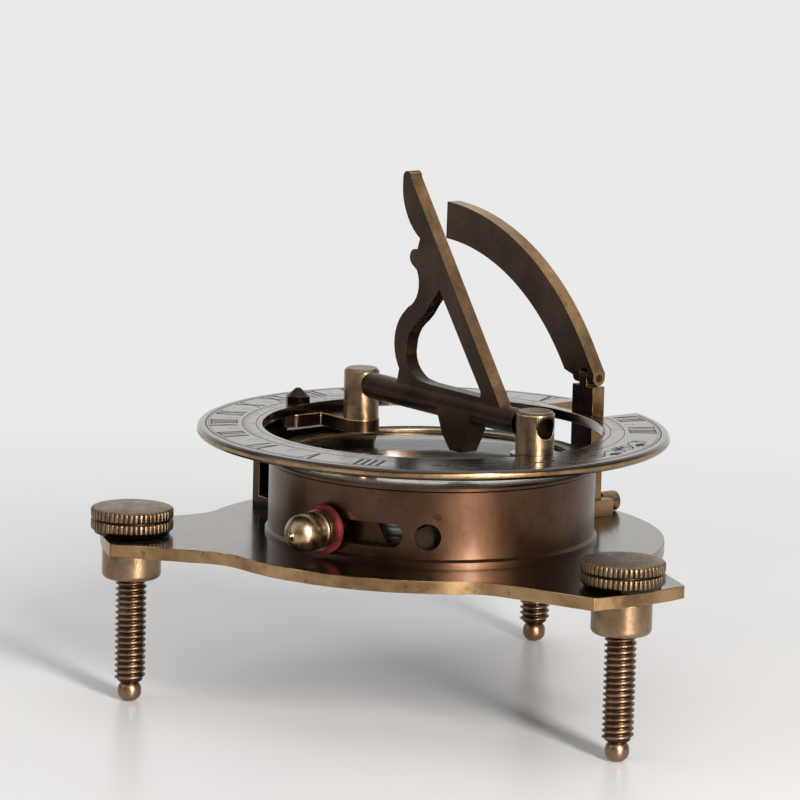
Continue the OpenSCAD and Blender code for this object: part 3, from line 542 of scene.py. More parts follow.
def pick_faces(mesh, side):
    """Gives the third material to the faces that a side names: those of a bore or a hole, those
    along the style, those deep behind the drum's window, or those that look across an axis."""
    for face in mesh.polygons:
        reach = math.hypot(face.center.x, face.center.y) / MM
        if side == "bore":
            chosen = reach < BORE_R
        elif side == "pivot hole":
            chosen = math.hypot(face.center.x, face.center.z - PIVOT_Z * MM) / MM < PIVOT_HOLE_R
        elif side == "style":
            beyond = (face.center - STYLE_POINT).dot(STYLE_OUT) / MM
            chosen = abs(beyond) < STYLE_NEAR and abs(face.normal.x) < RIM_TILT
        # painted shade: on the lock strip, the part behind the drum's round hole
        elif side == "window":
            chosen = math.degrees(math.atan2(face.center.y, face.center.x)) > DARK_FROM
        elif side == "outer z":
            chosen = abs(face.normal.z) < RIM_TILT and reach > OUTSIDE_R
        else:
            chosen = abs(face.normal["xyz".index(side)]) < RIM_TILT
        face.material_index = 2 if chosen else 0


def bevel_edges(piece, name, width, segments):
    """A bevel on every true edge. width is in millimetres. Then large faces decide the shading."""
    bevel = piece.modifiers.new(name, "BEVEL")
    bevel.width = width * MM
    bevel.segments = segments
    bevel.limit_method = "ANGLE"
    bevel.angle_limit = EDGE_ANGLE
    piece.modifiers.new("flat faces stay flat", "WEIGHTED_NORMAL").keep_sharp = False
    return bevel


def soften(node, width, paint, edge, slot, third=None, side=None):
    """A bevelled copy that stands for one CAD node. width is the bevel's width in millimetres."""
    mesh = whole_faces(NODES[node])
    mesh.name = node + "_softened"
    if node in RESHAPED:
        RESHAPED[node](mesh)
    paints = (PAINTS[paint], EDGES[edge]) + ((PAINTS[third],) if third else ())
    piece = finish_piece(mesh.name, mesh, paints, BODY_OF_NODE[node])
    if third:
        pick_faces(mesh, side)
    bevel = bevel_edges(piece, "rubbed edges", width, 2)
    bevel.material = 1
    bevel.use_clamp_overlap = True
    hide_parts(node)


# node, bevel in mm, finish, edge finish, slot, third finish, the faces that it goes on
SOFTENED = (
    ("base_plate", 0.30, "plate", "dark", "dark_bronze", "rim", "outer z"),
    # painted shade: the drum's bore takes the near-black inside finish
    ("drum_shell", 0.18, "drum", "copper", "dark_bronze", "inside", "bore"),
    ("hour_ring", 0.16, "ring", "dark", "polished_bronze", "rim", "outer z"),
    ("gnomon", 0.28, "gnomon", "dark", "dark_bronze", "style", "style"),
    ("latitude_arc", 0.28, "gnomon", "dark", "dark_bronze", "rim", "x"),
    ("arc_post", 0.28, "gnomon", "dark", "dark_bronze", "style", "x"),
    ("hinge_bracket", 0.25, "gnomon", "dark", "dark_bronze"),
    ("hinge_leaf", 0.22, "gnomon", "dark", "dark_bronze"),
    ("leaf_screws", 0.18, "gnomon", "dark", "dark_bronze"),
    # painted shade: near-black on the strip's part behind the round hole
    ("lock_strip", 0.06, "drum", "dark", "dark_bronze", "inside", "window"),
    # painted shade: near-black in both posts' pivot holes
    ("post_south", 0.20, "brass", "brass", "worn_brass", "inside", "pivot hole"),
    ("post_north", 0.20, "brass", "brass", "worn_brass", "inside", "pivot hole"),
    ("leg_bushes", 0.20, "brass", "brass", "worn_brass"),
    ("arc_clamp_screw", 0.20, "brass", "brass", "worn_brass"),
    ("bracket_screws", 0.15, "brass", "brass", "worn_brass"),
    ("glass_ring", 0.12, "brass", "brass", "worn_brass"),
)
for row in SOFTENED:
    soften(*row)
print("softened copies:", len(SOFTENED))

# %% [markdown]
# ## Surfaces from arrays
# The new pieces are surfaces worked out with numpy. A surface is a grid of points, and each four
# neighbours make a face. Working on whole arrays is fast, and the formula stays readable. After the
# grids are put together, points that coincide are merged, so that seams and poles are closed, and
# the faces are turned outwards.

# %% Helpers that turn grids of points into a mesh


def grid_faces(rows, columns, closed):
    """Faces between neighbours of a grid that is numbered row by row. closed joins the last column
    to the first."""
    number = np.arange(rows * columns).reshape(rows, columns)
    if closed:
        number = np.concatenate([number, number[:, :1]], axis=1)
    corners = (number[:-1, :-1], number[:-1, 1:], number[1:, 1:], number[1:, :-1])
    return np.stack([c.ravel() for c in corners], axis=1)


def round_points(radius, angle, height):
    """x = r cos a, y = r sin a, z = height, for arrays that together span a grid."""
    radius, angle, height = np.broadcast_arrays(radius, angle, height)
    return np.stack([radius * np.cos(angle), radius * np.sin(angle), height], axis=2).reshape(-1, 3)


def lathe(profile, steps):
    """Turns a profile of (radius, height) points round the Z axis."""
    profile = np.asarray(profile, float)
    angle = np.linspace(0.0, 2.0 * np.pi, steps, endpoint=False)
    return round_points(profile[:, :1], angle, profile[:, 1:2]), grid_faces(len(profile), steps, True)


def joined(surfaces):
    """Many (points, faces) pairs as one pair, with the faces numbered on."""
    starts = np.cumsum([0] + [len(points) for points, _ in surfaces])
    faces = [some_faces + start for (_, some_faces), start in zip(surfaces, starts)]
    return np.concatenate([points for points, _ in surfaces]), np.concatenate(faces)


def surface_mesh(name, surfaces, rub=None):
    """Joins (points, faces) surfaces in millimetres into one closed mesh in metres.
    rub is one number a point, from 0 in a hollow to 1 on a ridge, kept as an attribute."""
    points, faces = joined(surfaces)
    mesh = bpy.data.meshes.new(name)
    mesh.from_pydata((points * MM).tolist(), [], faces.tolist())
    if rub is not None:
        mesh.attributes.new("rub", "FLOAT", "POINT").data.foreach_set("value", np.asarray(rub, np.float32))
    work = bmesh.new()
    work.from_mesh(mesh)
    bmesh.ops.remove_doubles(work, verts=work.verts, dist=MERGE_GAP)
    bmesh.ops.recalc_face_normals(work, faces=work.faces)
    for face in work.faces:
        face.smooth = True
    work.to_mesh(mesh)
    work.free()
    return mesh


def moved(surface, offset):
    """The same surface, shifted by an offset in millimetres."""
    return surface[0] + np.asarray(offset, float), surface[1]


print("surface helpers ready")

# %% [markdown]
# ## Brass that is dark in its hollows
# Threads and knurls keep the dark finish in their hollows and lose it on their ridges. The surface
# knows which is which while it is being worked out, so each point carries a number called rub, and
# the finish mixes its dark and its golden colour by it.

# %% The ridged finish


def ridged(name, hollow, ridge):
    """The rub attribute, broken up by noise, mixes a dark hollow and a bright ridge."""
    paint, tree, where = new_paint(name)
    rub = add_node(tree, "ShaderNodeAttribute", attribute_name="rub").outputs["Fac"]
    patches = spread(tree, noise(tree, where, 210.0, 6.0), 0.3, 0.7, -0.35, 0.25)
    amount = spread(tree, maths(tree, "ADD", rub, patches), 0.15, 0.95)
    fine = noise(tree, where, 1300.0, 3.0)
    return finish_paint(paint, fine, 0.3, 0.00004, {
        "Base Color": mix_colours(tree, amount, hollow, ridge), "Metallic": 1.0,
        "Roughness": spread(tree, fine, 0.3, 0.7, 0.26, 0.46)})


PAINTS["knurl"] = ridged("knurled_brass", (0.042, 0.026, 0.016, 1.0), (0.270, 0.182, 0.110, 1.0))
PAINTS["screw"] = ridged("threaded_bronze", (0.048, 0.027, 0.017, 1.0), (0.260, 0.160, 0.098, 1.0))
print("ridged paints ready")

# %% [markdown]
# ## Levelling screws
# Each leg is a quarter-inch screw with a rolled thread and a ball at its foot. A thread can be a
# texture, but its notched outline shows against the pale table, so it is geometry. The profile of one
# pitch is carried along a helix: the point at turn t and step s of the profile stands at
# height = pitch x (t + s). A cone cuts the thread away where the neck begins.

# %% Cut the threads and turn the ball feet
LEG_CIRCLE = 63.5
LEG_AZIMUTH = {"south": -90.0, "east": 30.0, "west": 150.0}
LEG_AT = {side: (LEG_CIRCLE * math.cos(math.radians(a)), LEG_CIRCLE * math.sin(math.radians(a)), 0)
          for side, a in LEG_AZIMUTH.items()}
PITCH = 1.27
CREST_R = 3.3
ROOT_R = 2.66
NECK_R = 1.9
NECK_TOP = 3.9
ROD_TOP = 36.3
BALL_R = 2.5
BALL_HIGH = 4.4
ROUNDNESS = 2.5
BALL_SHINE = 1.1


def thread_surface(steps=48):
    """Rows go round the helix, columns go across one pitch: root, flank, crest, flank, root."""
    across = np.array([0.0, 0.18, 0.44, 0.56, 0.82, 1.0])
    depth = np.array([0.0, 0.12, 1.0, 1.0, 0.12, 0.0])
    turns = (ROD_TOP - NECK_TOP) / PITCH + 1.0
    turn = np.arange(0.0, turns, 1.0 / steps)[:, None]
    height = np.clip(NECK_TOP + PITCH * (turn - 1.0 + across), NECK_TOP, ROD_TOP)
    cone = NECK_R + (height - NECK_TOP) * 1.3
    radius = np.minimum(ROOT_R + (CREST_R - ROOT_R) * depth, cone)
    rub = np.clip((radius - ROOT_R) / (CREST_R - ROOT_R), 0.0, 1.0)
    faces = grid_faces(len(turn), len(across), False)
    return (round_points(radius, 2.0 * np.pi * turn, height), faces), rub.ravel()


def ball_foot():
    """A barrel: radius = R (1 - |h|^n)^(1/n), where h runs from -1 to 1 up the ball. Then the neck."""
    h = np.cos(np.linspace(np.pi, 0.42, 26))
    radius = BALL_R * (1.0 - np.abs(h) ** ROUNDNESS) ** (1.0 / ROUNDNESS)
    radius[0] = 0.0
    height = BALL_HIGH * (h + 1.0) / 2.0
    ball = np.stack([radius, height], axis=1)
    neck = [(NECK_R - 0.1, height[-1] + 0.05), (NECK_R - 0.1, NECK_TOP + 0.5), (0.0, NECK_TOP + 0.5)]
    return lathe(np.concatenate([ball, neck]), 48)


thread, rub = thread_surface()
ball = ball_foot()
shine = np.concatenate([rub, np.full(len(ball[0]), BALL_SHINE)])
for side, foot_at in LEG_AT.items():
    mesh = surface_mesh("threaded_rod_" + side, (moved(thread, foot_at), moved(ball, foot_at)), shine)
    rod = finish_piece(mesh.name, mesh, (PAINTS["screw"],), "screw_" + side)
    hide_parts("levelling_rod_" + side)
print("thread turns:", round((ROD_TOP - NECK_TOP) / PITCH, 1), "faces in a rod:", len(mesh.polygons))

# %% [markdown]
# ## Knurled heads
# Each screw is turned by a head with two knurled bands and a turned groove between them. The knurl is
# a wave round the head: the radius drops in a narrow valley fifty times a turn. The valley is the
# tenth power of a cosine, which stays near nought between the valleys, so the ridges come out broad.

# %% Turn and knurl the three heads
HEAD_R = 8.7
HEAD_Z = 36.35
RIDGES = 50
KNURL_DEPTH = 0.36
HEAD_PROFILE = np.array((
    # radius below the full size, height, share of the knurl
    (8.70, 0.00, 0.0), (0.95, 0.00, 0.0), (0.75, 0.12, 0.0), (0.75, 0.75, 0.0), (0.55, 0.82, 0.0),
    (0.22, 0.86, 0.6), (0.04, 1.02, 1.0), (0.00, 1.20, 1.0), (0.00, 2.62, 1.0), (0.05, 2.78, 1.0),
    (0.24, 2.92, 0.6), (0.58, 2.98, 0.0), (0.62, 3.24, 0.0), (0.24, 3.32, 0.6), (0.05, 3.46, 1.0),
    (0.00, 3.62, 1.0), (0.00, 4.92, 1.0), (0.06, 5.12, 1.0), (0.24, 5.30, 0.6), (0.46, 5.42, 0.1),
    (0.75, 5.50, 0.0), (1.60, 5.58, 0.0), (3.60, 5.66, 0.0), (6.00, 5.69, 0.0), (8.70, 5.70, 0.0)))


def knurled_head():
    """radius = profile - depth x share x cos(ridges x angle / 2)^10."""
    steps = RIDGES * 8
    angle = np.linspace(0.0, 2.0 * np.pi, steps, endpoint=False)
    valley = np.cos(RIDGES * angle / 2.0) ** 10
    share = HEAD_PROFILE[:, 2:3]
    radius = HEAD_R - HEAD_PROFILE[:, :1] - KNURL_DEPTH * share * valley
    points = round_points(radius, angle, HEAD_PROFILE[:, 1:2] + HEAD_Z)
    in_groove = (HEAD_PROFILE[:, :1] > 0.5) & (HEAD_PROFILE[:, 1:2] < 3.3)
    rub = np.where(in_groove, 0.05, 0.72 - 0.72 * share * valley ** 0.5)
    return (points, grid_faces(len(HEAD_PROFILE), steps, True)), rub.ravel()


head, rub = knurled_head()
for side, head_at in LEG_AT.items():
    mesh = surface_mesh("knurled_head_" + side, (moved(head, head_at),), rub)
    knob = finish_piece(mesh.name, mesh, (PAINTS["knurl"],), "screw_" + side)
    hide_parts("levelling_knob_" + side)
print("ridges:", RIDGES, "faces in a head:", len(mesh.polygons))

# %% [markdown]
# ## The needle lock's acorn
# The lock is worked by a turned brass acorn on a stud, with a collar and a red fibre washer behind
# it. A lathe profile gives the ball, its pointed tip and the two fine grooves of the base. The
# profile is turned round the Z axis, then laid down to point out of the drum.

# %% Turn the acorn and lay it down
LOCK_AZIMUTH = 193.9
LOCK_Z = 42.1
ACORN_START = 37.9
ACORN_R = 4.05
ACORN_BALL = 4.25
ACORN_LONG = 9.2


def acorn_profile():
    """Base rings, then a ball: radius = R cos b, height = centre + R sin b, then a waisted tip."""
    base = [(0.0, 0.0), (3.3, 0.0), (3.62, 0.12), (3.72, 0.35), (3.62, 0.58), (3.3, 0.70), (3.22, 0.85),
            (3.3, 1.0), (3.72, 1.10), (3.95, 1.35)]
    b = np.radians(np.linspace(-42.0, 74.0, 30))
    ball = np.stack([ACORN_R * np.cos(b), ACORN_BALL + ACORN_R * np.sin(b)], axis=1)
    tip = [(0.80, 8.36), (0.62, 8.52), (0.56, 8.72), (0.42, 8.98), (0.20, 9.15), (0.0, ACORN_LONG)]
    return np.concatenate([base, ball, tip])


def lay_down(surface, azimuth, start, height):
    """Turns a piece from the Z axis to a level direction: z becomes the distance from the drum."""
    x, y, z = surface[0].T
    a = math.radians(azimuth)
    out = z + start
    points = np.stack([out * math.cos(a) - y * math.sin(a), out * math.sin(a) + y * math.cos(a), height - x])
    return points.T, surface[1]


acorn = lay_down(lathe(acorn_profile(), 72), LOCK_AZIMUTH, ACORN_START, LOCK_Z)
mesh = surface_mesh("turned_acorn", (acorn,))
PAINTS["acorn"] = bronze("polished_brass_acorn", (0.150, 0.100, 0.052, 1.0), (0.600, 0.450, 0.260, 1.0),
                         (0.24, 0.38), (1, 1, 1), 160.0, 0.15)
knob = finish_piece(mesh.name, mesh, (PAINTS["acorn"],), "needle_lock")
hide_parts("lock_acorn")
print("acorn faces:", len(mesh.polygons), "length in mm:", ACORN_LONG)

# %% [markdown]
# ## Engraving
# The hour ring is engraved and the cuts are filled with black. Cutting hundreds of grooves into a
# mesh is heavy, and a picture would blur. So each stroke is a flat ribbon that lies a hundredth of a
# millimetre above the metal. A ribbon is a line of points with a width at each: its two edges stand
# half a width to either side, along the normal of the line.

# %% Helpers for ribbons
INK_LIFT = 0.012
STEPS_PER_DEGREE = 0.7


def ribbon(line, width):
    """Edges at line +- width / 2 x normal, where the normal is the line's direction turned by 90."""
    line = np.asarray(line, float)
    width = np.broadcast_to(np.asarray(width, float), (len(line),))[:, None]
    along = np.gradient(line, axis=0)
    along = along / np.maximum(np.linalg.norm(along, axis=1, keepdims=True), 1e-9)
    normal = np.stack([-along[:, 1], along[:, 0]], axis=1)
    points = np.stack([line - normal * width / 2.0, line + normal * width / 2.0], axis=1)
    return points.reshape(-1, 2), grid_faces(len(line), 2, False)[:, ::-1]


def segment(x0, y0, x1, y1, width):
    """A straight ribbon."""
    return ribbon([(x0, y0), (x1, y1)], width)


def on_ring(azimuth, radius):
    """Polar to flat coordinates for arrays, with the azimuth in degrees."""
    a = np.radians(azimuth)
    return np.stack([radius * np.cos(a), radius * np.sin(a)], axis=1)


def ring_arc(radius, start, end, width):
    """A ribbon along a circle, from one azimuth to another, in degrees."""
    count = max(3, int(abs(end - start) * STEPS_PER_DEGREE))
    return ribbon(on_ring(np.linspace(start, end, count), radius), width)


def turned(shape, azimuth, radius=0.0, scale=1.0):
    """Puts a flat shape, drawn with +Y outwards, at a radius in a direction on the dial."""
    points, faces = shape
    a = math.radians(azimuth - 90.0)
    x = points[:, 0] * scale
    y = points[:, 1] * scale + radius
    return np.stack([x * math.cos(a) - y * math.sin(a), x * math.sin(a) + y * math.cos(a)], axis=1), faces


def ink_mesh(name, shapes, height):
    """Lays flat shapes at one height and makes them one mesh that faces up."""
    flat, faces = joined(shapes)
    points = np.concatenate([flat, np.full((len(flat), 1), height)], axis=1) * MM
    mesh = bpy.data.meshes.new(name)
    mesh.from_pydata(points.tolist(), [], faces.tolist())
    normals = np.zeros(len(mesh.polygons) * 3)
    mesh.polygons.foreach_get("normal", normals)
    if normals[2::3].mean() < 0.0:
        mesh.flip_normals()
    return mesh


print("ribbon helpers ready")

# %% [markdown]
# ## Roman numerals
# A Roman numeral needs three letters: I, V and X. Each is drawn with a thick and a thin stroke and
# small feet, in a box that is one high, and its width is kept with it so that letters can be set side
# by side.

# %% Draw the numerals
THICK = 0.135
THIN = 0.055
FOOT = 0.045


# each letter: its width, then its strokes as x and y of both ends and a thickness
STROKES = {
    "I": (0.27, ((0.135, 0.0, 0.135, 1.0, THICK), (0.03, 0.02, 0.24, 0.02, FOOT),
                 (0.03, 0.98, 0.24, 0.98, FOOT))),
    "V": (0.62, ((0.13, 1.0, 0.31, 0.0, THICK), (0.49, 1.0, 0.31, 0.0, THIN),
                 (0.02, 0.98, 0.24, 0.98, FOOT), (0.40, 0.98, 0.60, 0.98, FOOT))),
    "X": (0.64, ((0.12, 1.0, 0.52, 0.0, THICK), (0.52, 1.0, 0.12, 0.0, THIN),
                 (0.01, 0.98, 0.23, 0.98, FOOT), (0.42, 0.98, 0.63, 0.98, FOOT),
                 (0.01, 0.02, 0.22, 0.02, FOOT), (0.41, 0.02, 0.63, 0.02, FOOT))),
}
GLYPHS = {letter: (wide, [segment(*row) for row in rows]) for letter, (wide, rows) in STROKES.items()}


def numeral(word, azimuth, inner, high):
    """Sets the letters side by side, centred on a direction, with their feet to the middle."""
    total = sum(GLYPHS[letter][0] for letter in word)
    shapes = []
    pen = -total / 2.0
    for letter in word:
        wide, strokes = GLYPHS[letter]
        for points, faces in strokes:
            shapes.append(turned((points + (pen, 0.0), faces), azimuth, inner, high))
        pen += wide
    return shapes


print("letters:", sorted(GLYPHS))

# %% [markdown]
# ## The hour scale
# On a flat dial the hour lines fan out unevenly. An hour h from noon stands at the angle whose
# tangent is sine of the latitude times tangent of 15 h. The style of this gnomon rises at 55 degrees,
# so the dial is laid out for latitude 55. The gap at the east lets the ring pass the arc's post.

# %% Lay out the hour ring
RING_TOP = 59.0
LATITUDE = 55.0
BORDER_R = 48.1
NUMERAL_IN = 41.4
NUMERAL_HIGH = 5.7
SCALE_OUT = 40.4
SCALE_IN = 37.5
TICK_IN = 38.9
GAP_AZIMUTH = 14.2
HOUR_WORDS = {-8: "IIII", -7: "V", -6: "VI", -5: "VII", -4: "VIII", -3: "IX", -2: "X", -1: "XI", 0: "XII",
              1: "I", 2: "II", 3: "III", 4: "IIII", 5: "V", 7: "VII", 8: "VIII"}


def hour_azimuth(hour):
    """The direction of an hour's shadow, in degrees from +X, with noon at 90."""
    turn = math.radians(15.0 * hour)
    lean = math.atan2(math.sin(math.radians(LATITUDE)) * math.sin(turn), math.cos(turn))
    return 90.0 - math.degrees(lean)


def clear_of_gap(azimuth):
    """True where the ring isn't cut away for the arc's post."""
    return abs((azimuth + 180.0) % 360.0 - 180.0) > GAP_AZIMUTH


engraving = []
for radius, width in ((BORDER_R, 0.28), (BORDER_R - 0.55, 0.10), (SCALE_OUT, 0.16), (SCALE_IN, 0.16)):
    engraving.append(ring_arc(radius, GAP_AZIMUTH, 360.0 - GAP_AZIMUTH, width))
for hour, word in HOUR_WORDS.items():
    engraving += numeral(word, hour_azimuth(hour), NUMERAL_IN, NUMERAL_HIGH)
for step in range(-8 * 12, 8 * 12 + 1):
    azimuth = hour_azimuth(step / 12.0)
    if clear_of_gap(azimuth):
        inner = SCALE_IN if step % 12 == 0 else (TICK_IN if step % 3 == 0 else TICK_IN + 0.7)
        engraving.append(turned(segment(0, inner, 0, SCALE_OUT, 0.16 if step % 12 == 0 else 0.10), azimuth))
for half in range(-15, 16, 2):
    azimuth = hour_azimuth(half / 2.0)
    if clear_of_gap(azimuth):
        engraving.append(turned(segment(0, NUMERAL_IN, 0, NUMERAL_IN + 1.5, 0.12), azimuth))
        engraving.append(turned(segment(-0.25, 0, 0.25, 0, 0.3), azimuth, NUMERAL_IN + 2.0))
print("hour strokes:", len(engraving), "six o'clock at", round(hour_azimuth(-6), 1), "degrees")

# %% [markdown]
# ## A scroll on the south side
# No hour falls on the ring's south side, so engravers filled it with leaves. This is a plain
# traditional scroll: a wave for the stem, a spiral that rolls up on each side of it in turn, and
# pointed leaves, which are ribbons whose width swells and dies away as a sine.

# %% Draw the scroll
SCROLL_R = 44.3
SCROLL_FROM = 232.0
SCROLL_TO = 308.0
SCROLL_WAVES = 5


def curl(azimuth, radius, side, size=1.7):
    """A spiral whose radius shrinks evenly while it turns: r = size (1 - 0.8 t), 1.4 turns."""
    t = np.linspace(0.0, 1.0, 30)
    angle = side * 2.0 * np.pi * 1.4 * t
    r = size * (1.0 - 0.8 * t)
    line = np.stack([r * np.sin(angle), side * (r * np.cos(angle) - size)], axis=1)
    return turned(ribbon(line, 0.34 - 0.2 * t), azimuth, radius)


def leaf(azimuth, radius, lean, length):
    """A leaf: width = 0.08 + 0.85 sin(pi t) along a line that bends a little."""
    t = np.linspace(0.0, 1.0, 9)
    swell = np.sin(np.pi * t)
    line = np.stack([length * t * math.sin(lean), length * t * math.cos(lean) + 0.35 * swell], axis=1)
    return turned(ribbon(line, 0.08 + 0.85 * swell), azimuth, radius)


s = np.linspace(0.0, 1.0, 160)
wave = np.sin(2.0 * np.pi * SCROLL_WAVES * s)
stem = on_ring(SCROLL_FROM + (SCROLL_TO - SCROLL_FROM) * s, SCROLL_R + 1.5 * wave)
engraving.append(ribbon(stem, 0.30))
for bend in range(2 * SCROLL_WAVES):
    at = SCROLL_FROM + (SCROLL_TO - SCROLL_FROM) * (bend + 0.5) / (2 * SCROLL_WAVES)
    side = 1 if bend % 2 == 0 else -1
    engraving.append(curl(at + 2.2, SCROLL_R + 1.2 * side, side))
    for lean in (-1.1, -0.4, 0.4, 1.1):
        engraving.append(leaf(at - 1.6, SCROLL_R - 0.4 * side, lean + (0.0 if side < 0 else math.pi), 2.4))
print("strokes with the scroll:", len(engraving))

# %% [markdown]
# ## Ink
# The fill in an engraved line is a matt black wax. It is worn thin in places, so its colour varies.

# %% The ink finish and the engraved piece


def wax(name, dark, light):
    """Noise mixes two dark tones, with a rough surface."""
    paint, tree, where = new_paint(name)
    worn = noise(tree, where, 420.0, 4.0)
    tone = spread(tree, worn, 0.40, 0.68)
    return finish_paint(paint, worn, 0.4, 0.00004, {
        "Base Color": mix_colours(tree, tone, dark, light), "Metallic": 0.3,
        "Roughness": spread(tree, worn, 0.3, 0.7, 0.45, 0.70)})


PAINTS["ink"] = wax("black_wax", (0.012, 0.010, 0.009, 1.0), (0.070, 0.052, 0.040, 1.0))
mesh = ink_mesh("hour_engraving", engraving, RING_TOP + INK_LIFT)
finish_piece(mesh.name, mesh, (PAINTS["ink"],), "ring")
print("engraved faces:", len(mesh.polygons))

# %% [markdown]
# ## The compass card
# Under the glass lies a silvered card with a star of eight points and a degree ring. The star is the
# oldest mark of a compass: each point is a kite, split down the middle into a dark and a light half.
# A kite's half is a triangle from the centre to a shoulder and out to the tip. The north point gets a
# plain arrowhead and no letter.

# %% Draw the star and the degree ring
CARD_TOP = 47.5
CARD_LIFT = 0.02
STAR = (
    # first direction, length of the point, radius of its shoulders, half angle of its shoulders
    (45.0, 17.5, 6.2, 22.5),
    (0.0, 23.5, 6.6, 22.5),
)
DEGREES_OUT = 30.6
DEGREES_IN = 28.4
DEGREES_LONG = 27.3
CIRCLE_R = 24.6
ARROW = ((0.0, 26.6), (-1.5, 24.7), (1.5, 24.7))


def triangle(a, b, c):
    """One flat face with three corners, counted anticlockwise."""
    points = np.array([a, b, c], float)
    (ax, ay), (bx, by) = points[1] - points[0], points[2] - points[0]
    if ax * by - ay * bx < 0.0:
        points = points[::-1]
    return points, np.array([[0, 1, 2, 2]])


def star_halves(first, length, shoulder, half_angle, side):
    """The dark (side 1) or light (side -1) halves of four points, a quarter turn apart."""
    halves = []
    for quarter in range(4):
        direction = math.radians(first + 90.0 * quarter)
        beside = direction + side * math.radians(half_angle)
        tip = (length * math.cos(direction), length * math.sin(direction))
        notch = (shoulder * math.cos(beside), shoulder * math.sin(beside))
        halves.append(triangle((0.0, 0.0), tip, notch))
    return halves


def flat_mesh(name, shapes, height):
    """ink_mesh for shapes whose triangles are written as squares with a doubled corner."""
    mesh = ink_mesh(name, shapes, height)
    work = bmesh.new()
    work.from_mesh(mesh)
    bmesh.ops.remove_doubles(work, verts=work.verts, dist=MERGE_GAP)
    work.to_mesh(mesh)
    work.free()
    return mesh


dark_marks = []
for row in STAR:
    dark_marks += star_halves(*row, 1)
for radius, width in ((DEGREES_OUT, 0.22), (DEGREES_IN, 0.14), (DEGREES_LONG - 0.5, 0.10), (CIRCLE_R, 0.16)):
    dark_marks.append(ring_arc(radius, 0.0, 360.0, width))
for degree in range(0, 360, 2):
    inner = DEGREES_LONG if degree % 10 == 0 else DEGREES_IN
    width = 0.30 if degree % 10 == 0 else 0.16
    dark_marks.append(turned(segment(0, inner, 0, DEGREES_OUT, width), degree))
dark_marks.append(triangle(*ARROW))
print("marks on the card:", len(dark_marks))

# %% [markdown]
# ## Silvered brass and its marks
# The card is brass, rubbed with silver salts, so it is pale, slightly yellow and matt. It has grown
# dull in patches. The light halves of the star are red-brown, as on many old cards.

# %% Finish the card
PAINTS["silver"] = bronze("silvered_card", (0.46, 0.44, 0.38, 1.0), (0.82, 0.80, 0.74, 1.0),
                          (0.34, 0.5), (1, 1, 1), 60.0, 0.1, 0.2, 0.3)
PAINTS["red_ink"] = wax("red_brown_wax", (0.110, 0.022, 0.016, 1.0), (0.200, 0.060, 0.040, 1.0))


def dress(node, paint):
    """Gives a CAD node, which keeps its shape, a finished material in each of its slots."""
    for holder in NODES[node].material_slots:
        holder.material = PAINTS[paint]


mesh = flat_mesh("card_marks", dark_marks, CARD_TOP + CARD_LIFT)
card_marks = finish_piece(mesh.name, mesh, (PAINTS["ink"],), "stand")
light_marks = []
for row in STAR:
    light_marks += star_halves(*row, -1)
mesh = flat_mesh("card_star_lights", light_marks, CARD_TOP + CARD_LIFT)
card_lights = finish_piece(mesh.name, mesh, (PAINTS["red_ink"],), "stand")
dress("compass_card", "silver")
print("card faces:", len(card_marks.data.polygons) + len(card_lights.data.polygons))

# %% [markdown]
# ## The bezel's degree marks
# The ring that holds the glass carries fine marks, which show as a dotted golden line at a low angle.

# %% Mark the glass ring
BEZEL_TOP = 52.7
BEZEL_IN = 31.15
BEZEL_OUT = 32.35
BEZEL_SHORTER = 0.45
bezel_marks = [ring_arc(BEZEL_OUT, 0.0, 360.0, 0.09)]
for degree in range(0, 360, 3):
    inner = BEZEL_IN if degree % 15 == 0 else BEZEL_IN + BEZEL_SHORTER
    bezel_marks.append(turned(segment(0, inner, 0, BEZEL_OUT, 0.30), degree))
mesh = ink_mesh("bezel_marks", bezel_marks, BEZEL_TOP + INK_LIFT)
finish_piece(mesh.name, mesh, (PAINTS["ink"],), "stand")
print("bezel marks:", len(bezel_marks))

# %% [markdown]
# ## Glass
# The glass is a real solid with two faces, so the shader only has to let light through and mirror the
# room at a low angle. Fingers leave a faint film, and a noise in the roughness shows it.

# %% Glaze the compass
GLASS_TINT = (0.93, 0.96, 0.95, 1.0)


def clear_glass(name):
    """Noise varies the roughness between polished and faintly filmed."""
    paint, tree, where = new_paint(name)
    film = noise(tree, where, 45.0, 5.0)
    return finish_paint(paint, film, 0.05, 0.0001, {
        "Base Color": GLASS_TINT, "Transmission Weight": 1.0, "IOR": 1.4,
        "Roughness": spread(tree, film, 0.45, 0.75, 0.015, 0.09)})


PAINTS["glass"] = clear_glass("window_glass")
dress("glass", "glass")
print("glass dressed")

# %% [markdown]
# ## The needle
# A compass needle is steel. The half that seeks north is heated until it turns blue, and the other
# half is left bright. The needle's own frame lies along Y at rest, so the sign of Y tells the halves.

# %% Blue one half of the needle


def blued_needle(name):
    """The Y coordinate, sharply spread, mixes bright steel and the blue of tempered steel."""
    paint, tree, where = new_paint(name)
    north = spread(tree, add_node(tree, "ShaderNodeSeparateXYZ", {0: where}).outputs["Y"], 0.0, 0.0008)
    grain = noise(tree, where, 900.0, 4.0)
    blue = mix_colours(tree, grain, (0.020, 0.035, 0.120, 1.0), (0.060, 0.075, 0.200, 1.0))
    bright = mix_colours(tree, grain, (0.42, 0.41, 0.39, 1.0), (0.68, 0.67, 0.64, 1.0))
    return finish_paint(paint, grain, 0.2, 0.00003, {
        "Base Color": mix_colours(tree, north, bright, blue), "Metallic": 1.0,
        "Roughness": spread(tree, grain, 0.3, 0.7, 0.18, 0.34)})


PAINTS["needle"] = blued_needle("blued_steel_needle")
dress("needle", "needle")
print("needle dressed")

# %% [markdown]
# ## Red fibre
# The lock's washer is vulcanised fibre: paper pulp pressed hard and dyed red. It is matt, mottled and
# a little fuzzy at its edge, so it has a soft sheen and a coarse bump.

# %% Soften the washer and dye it


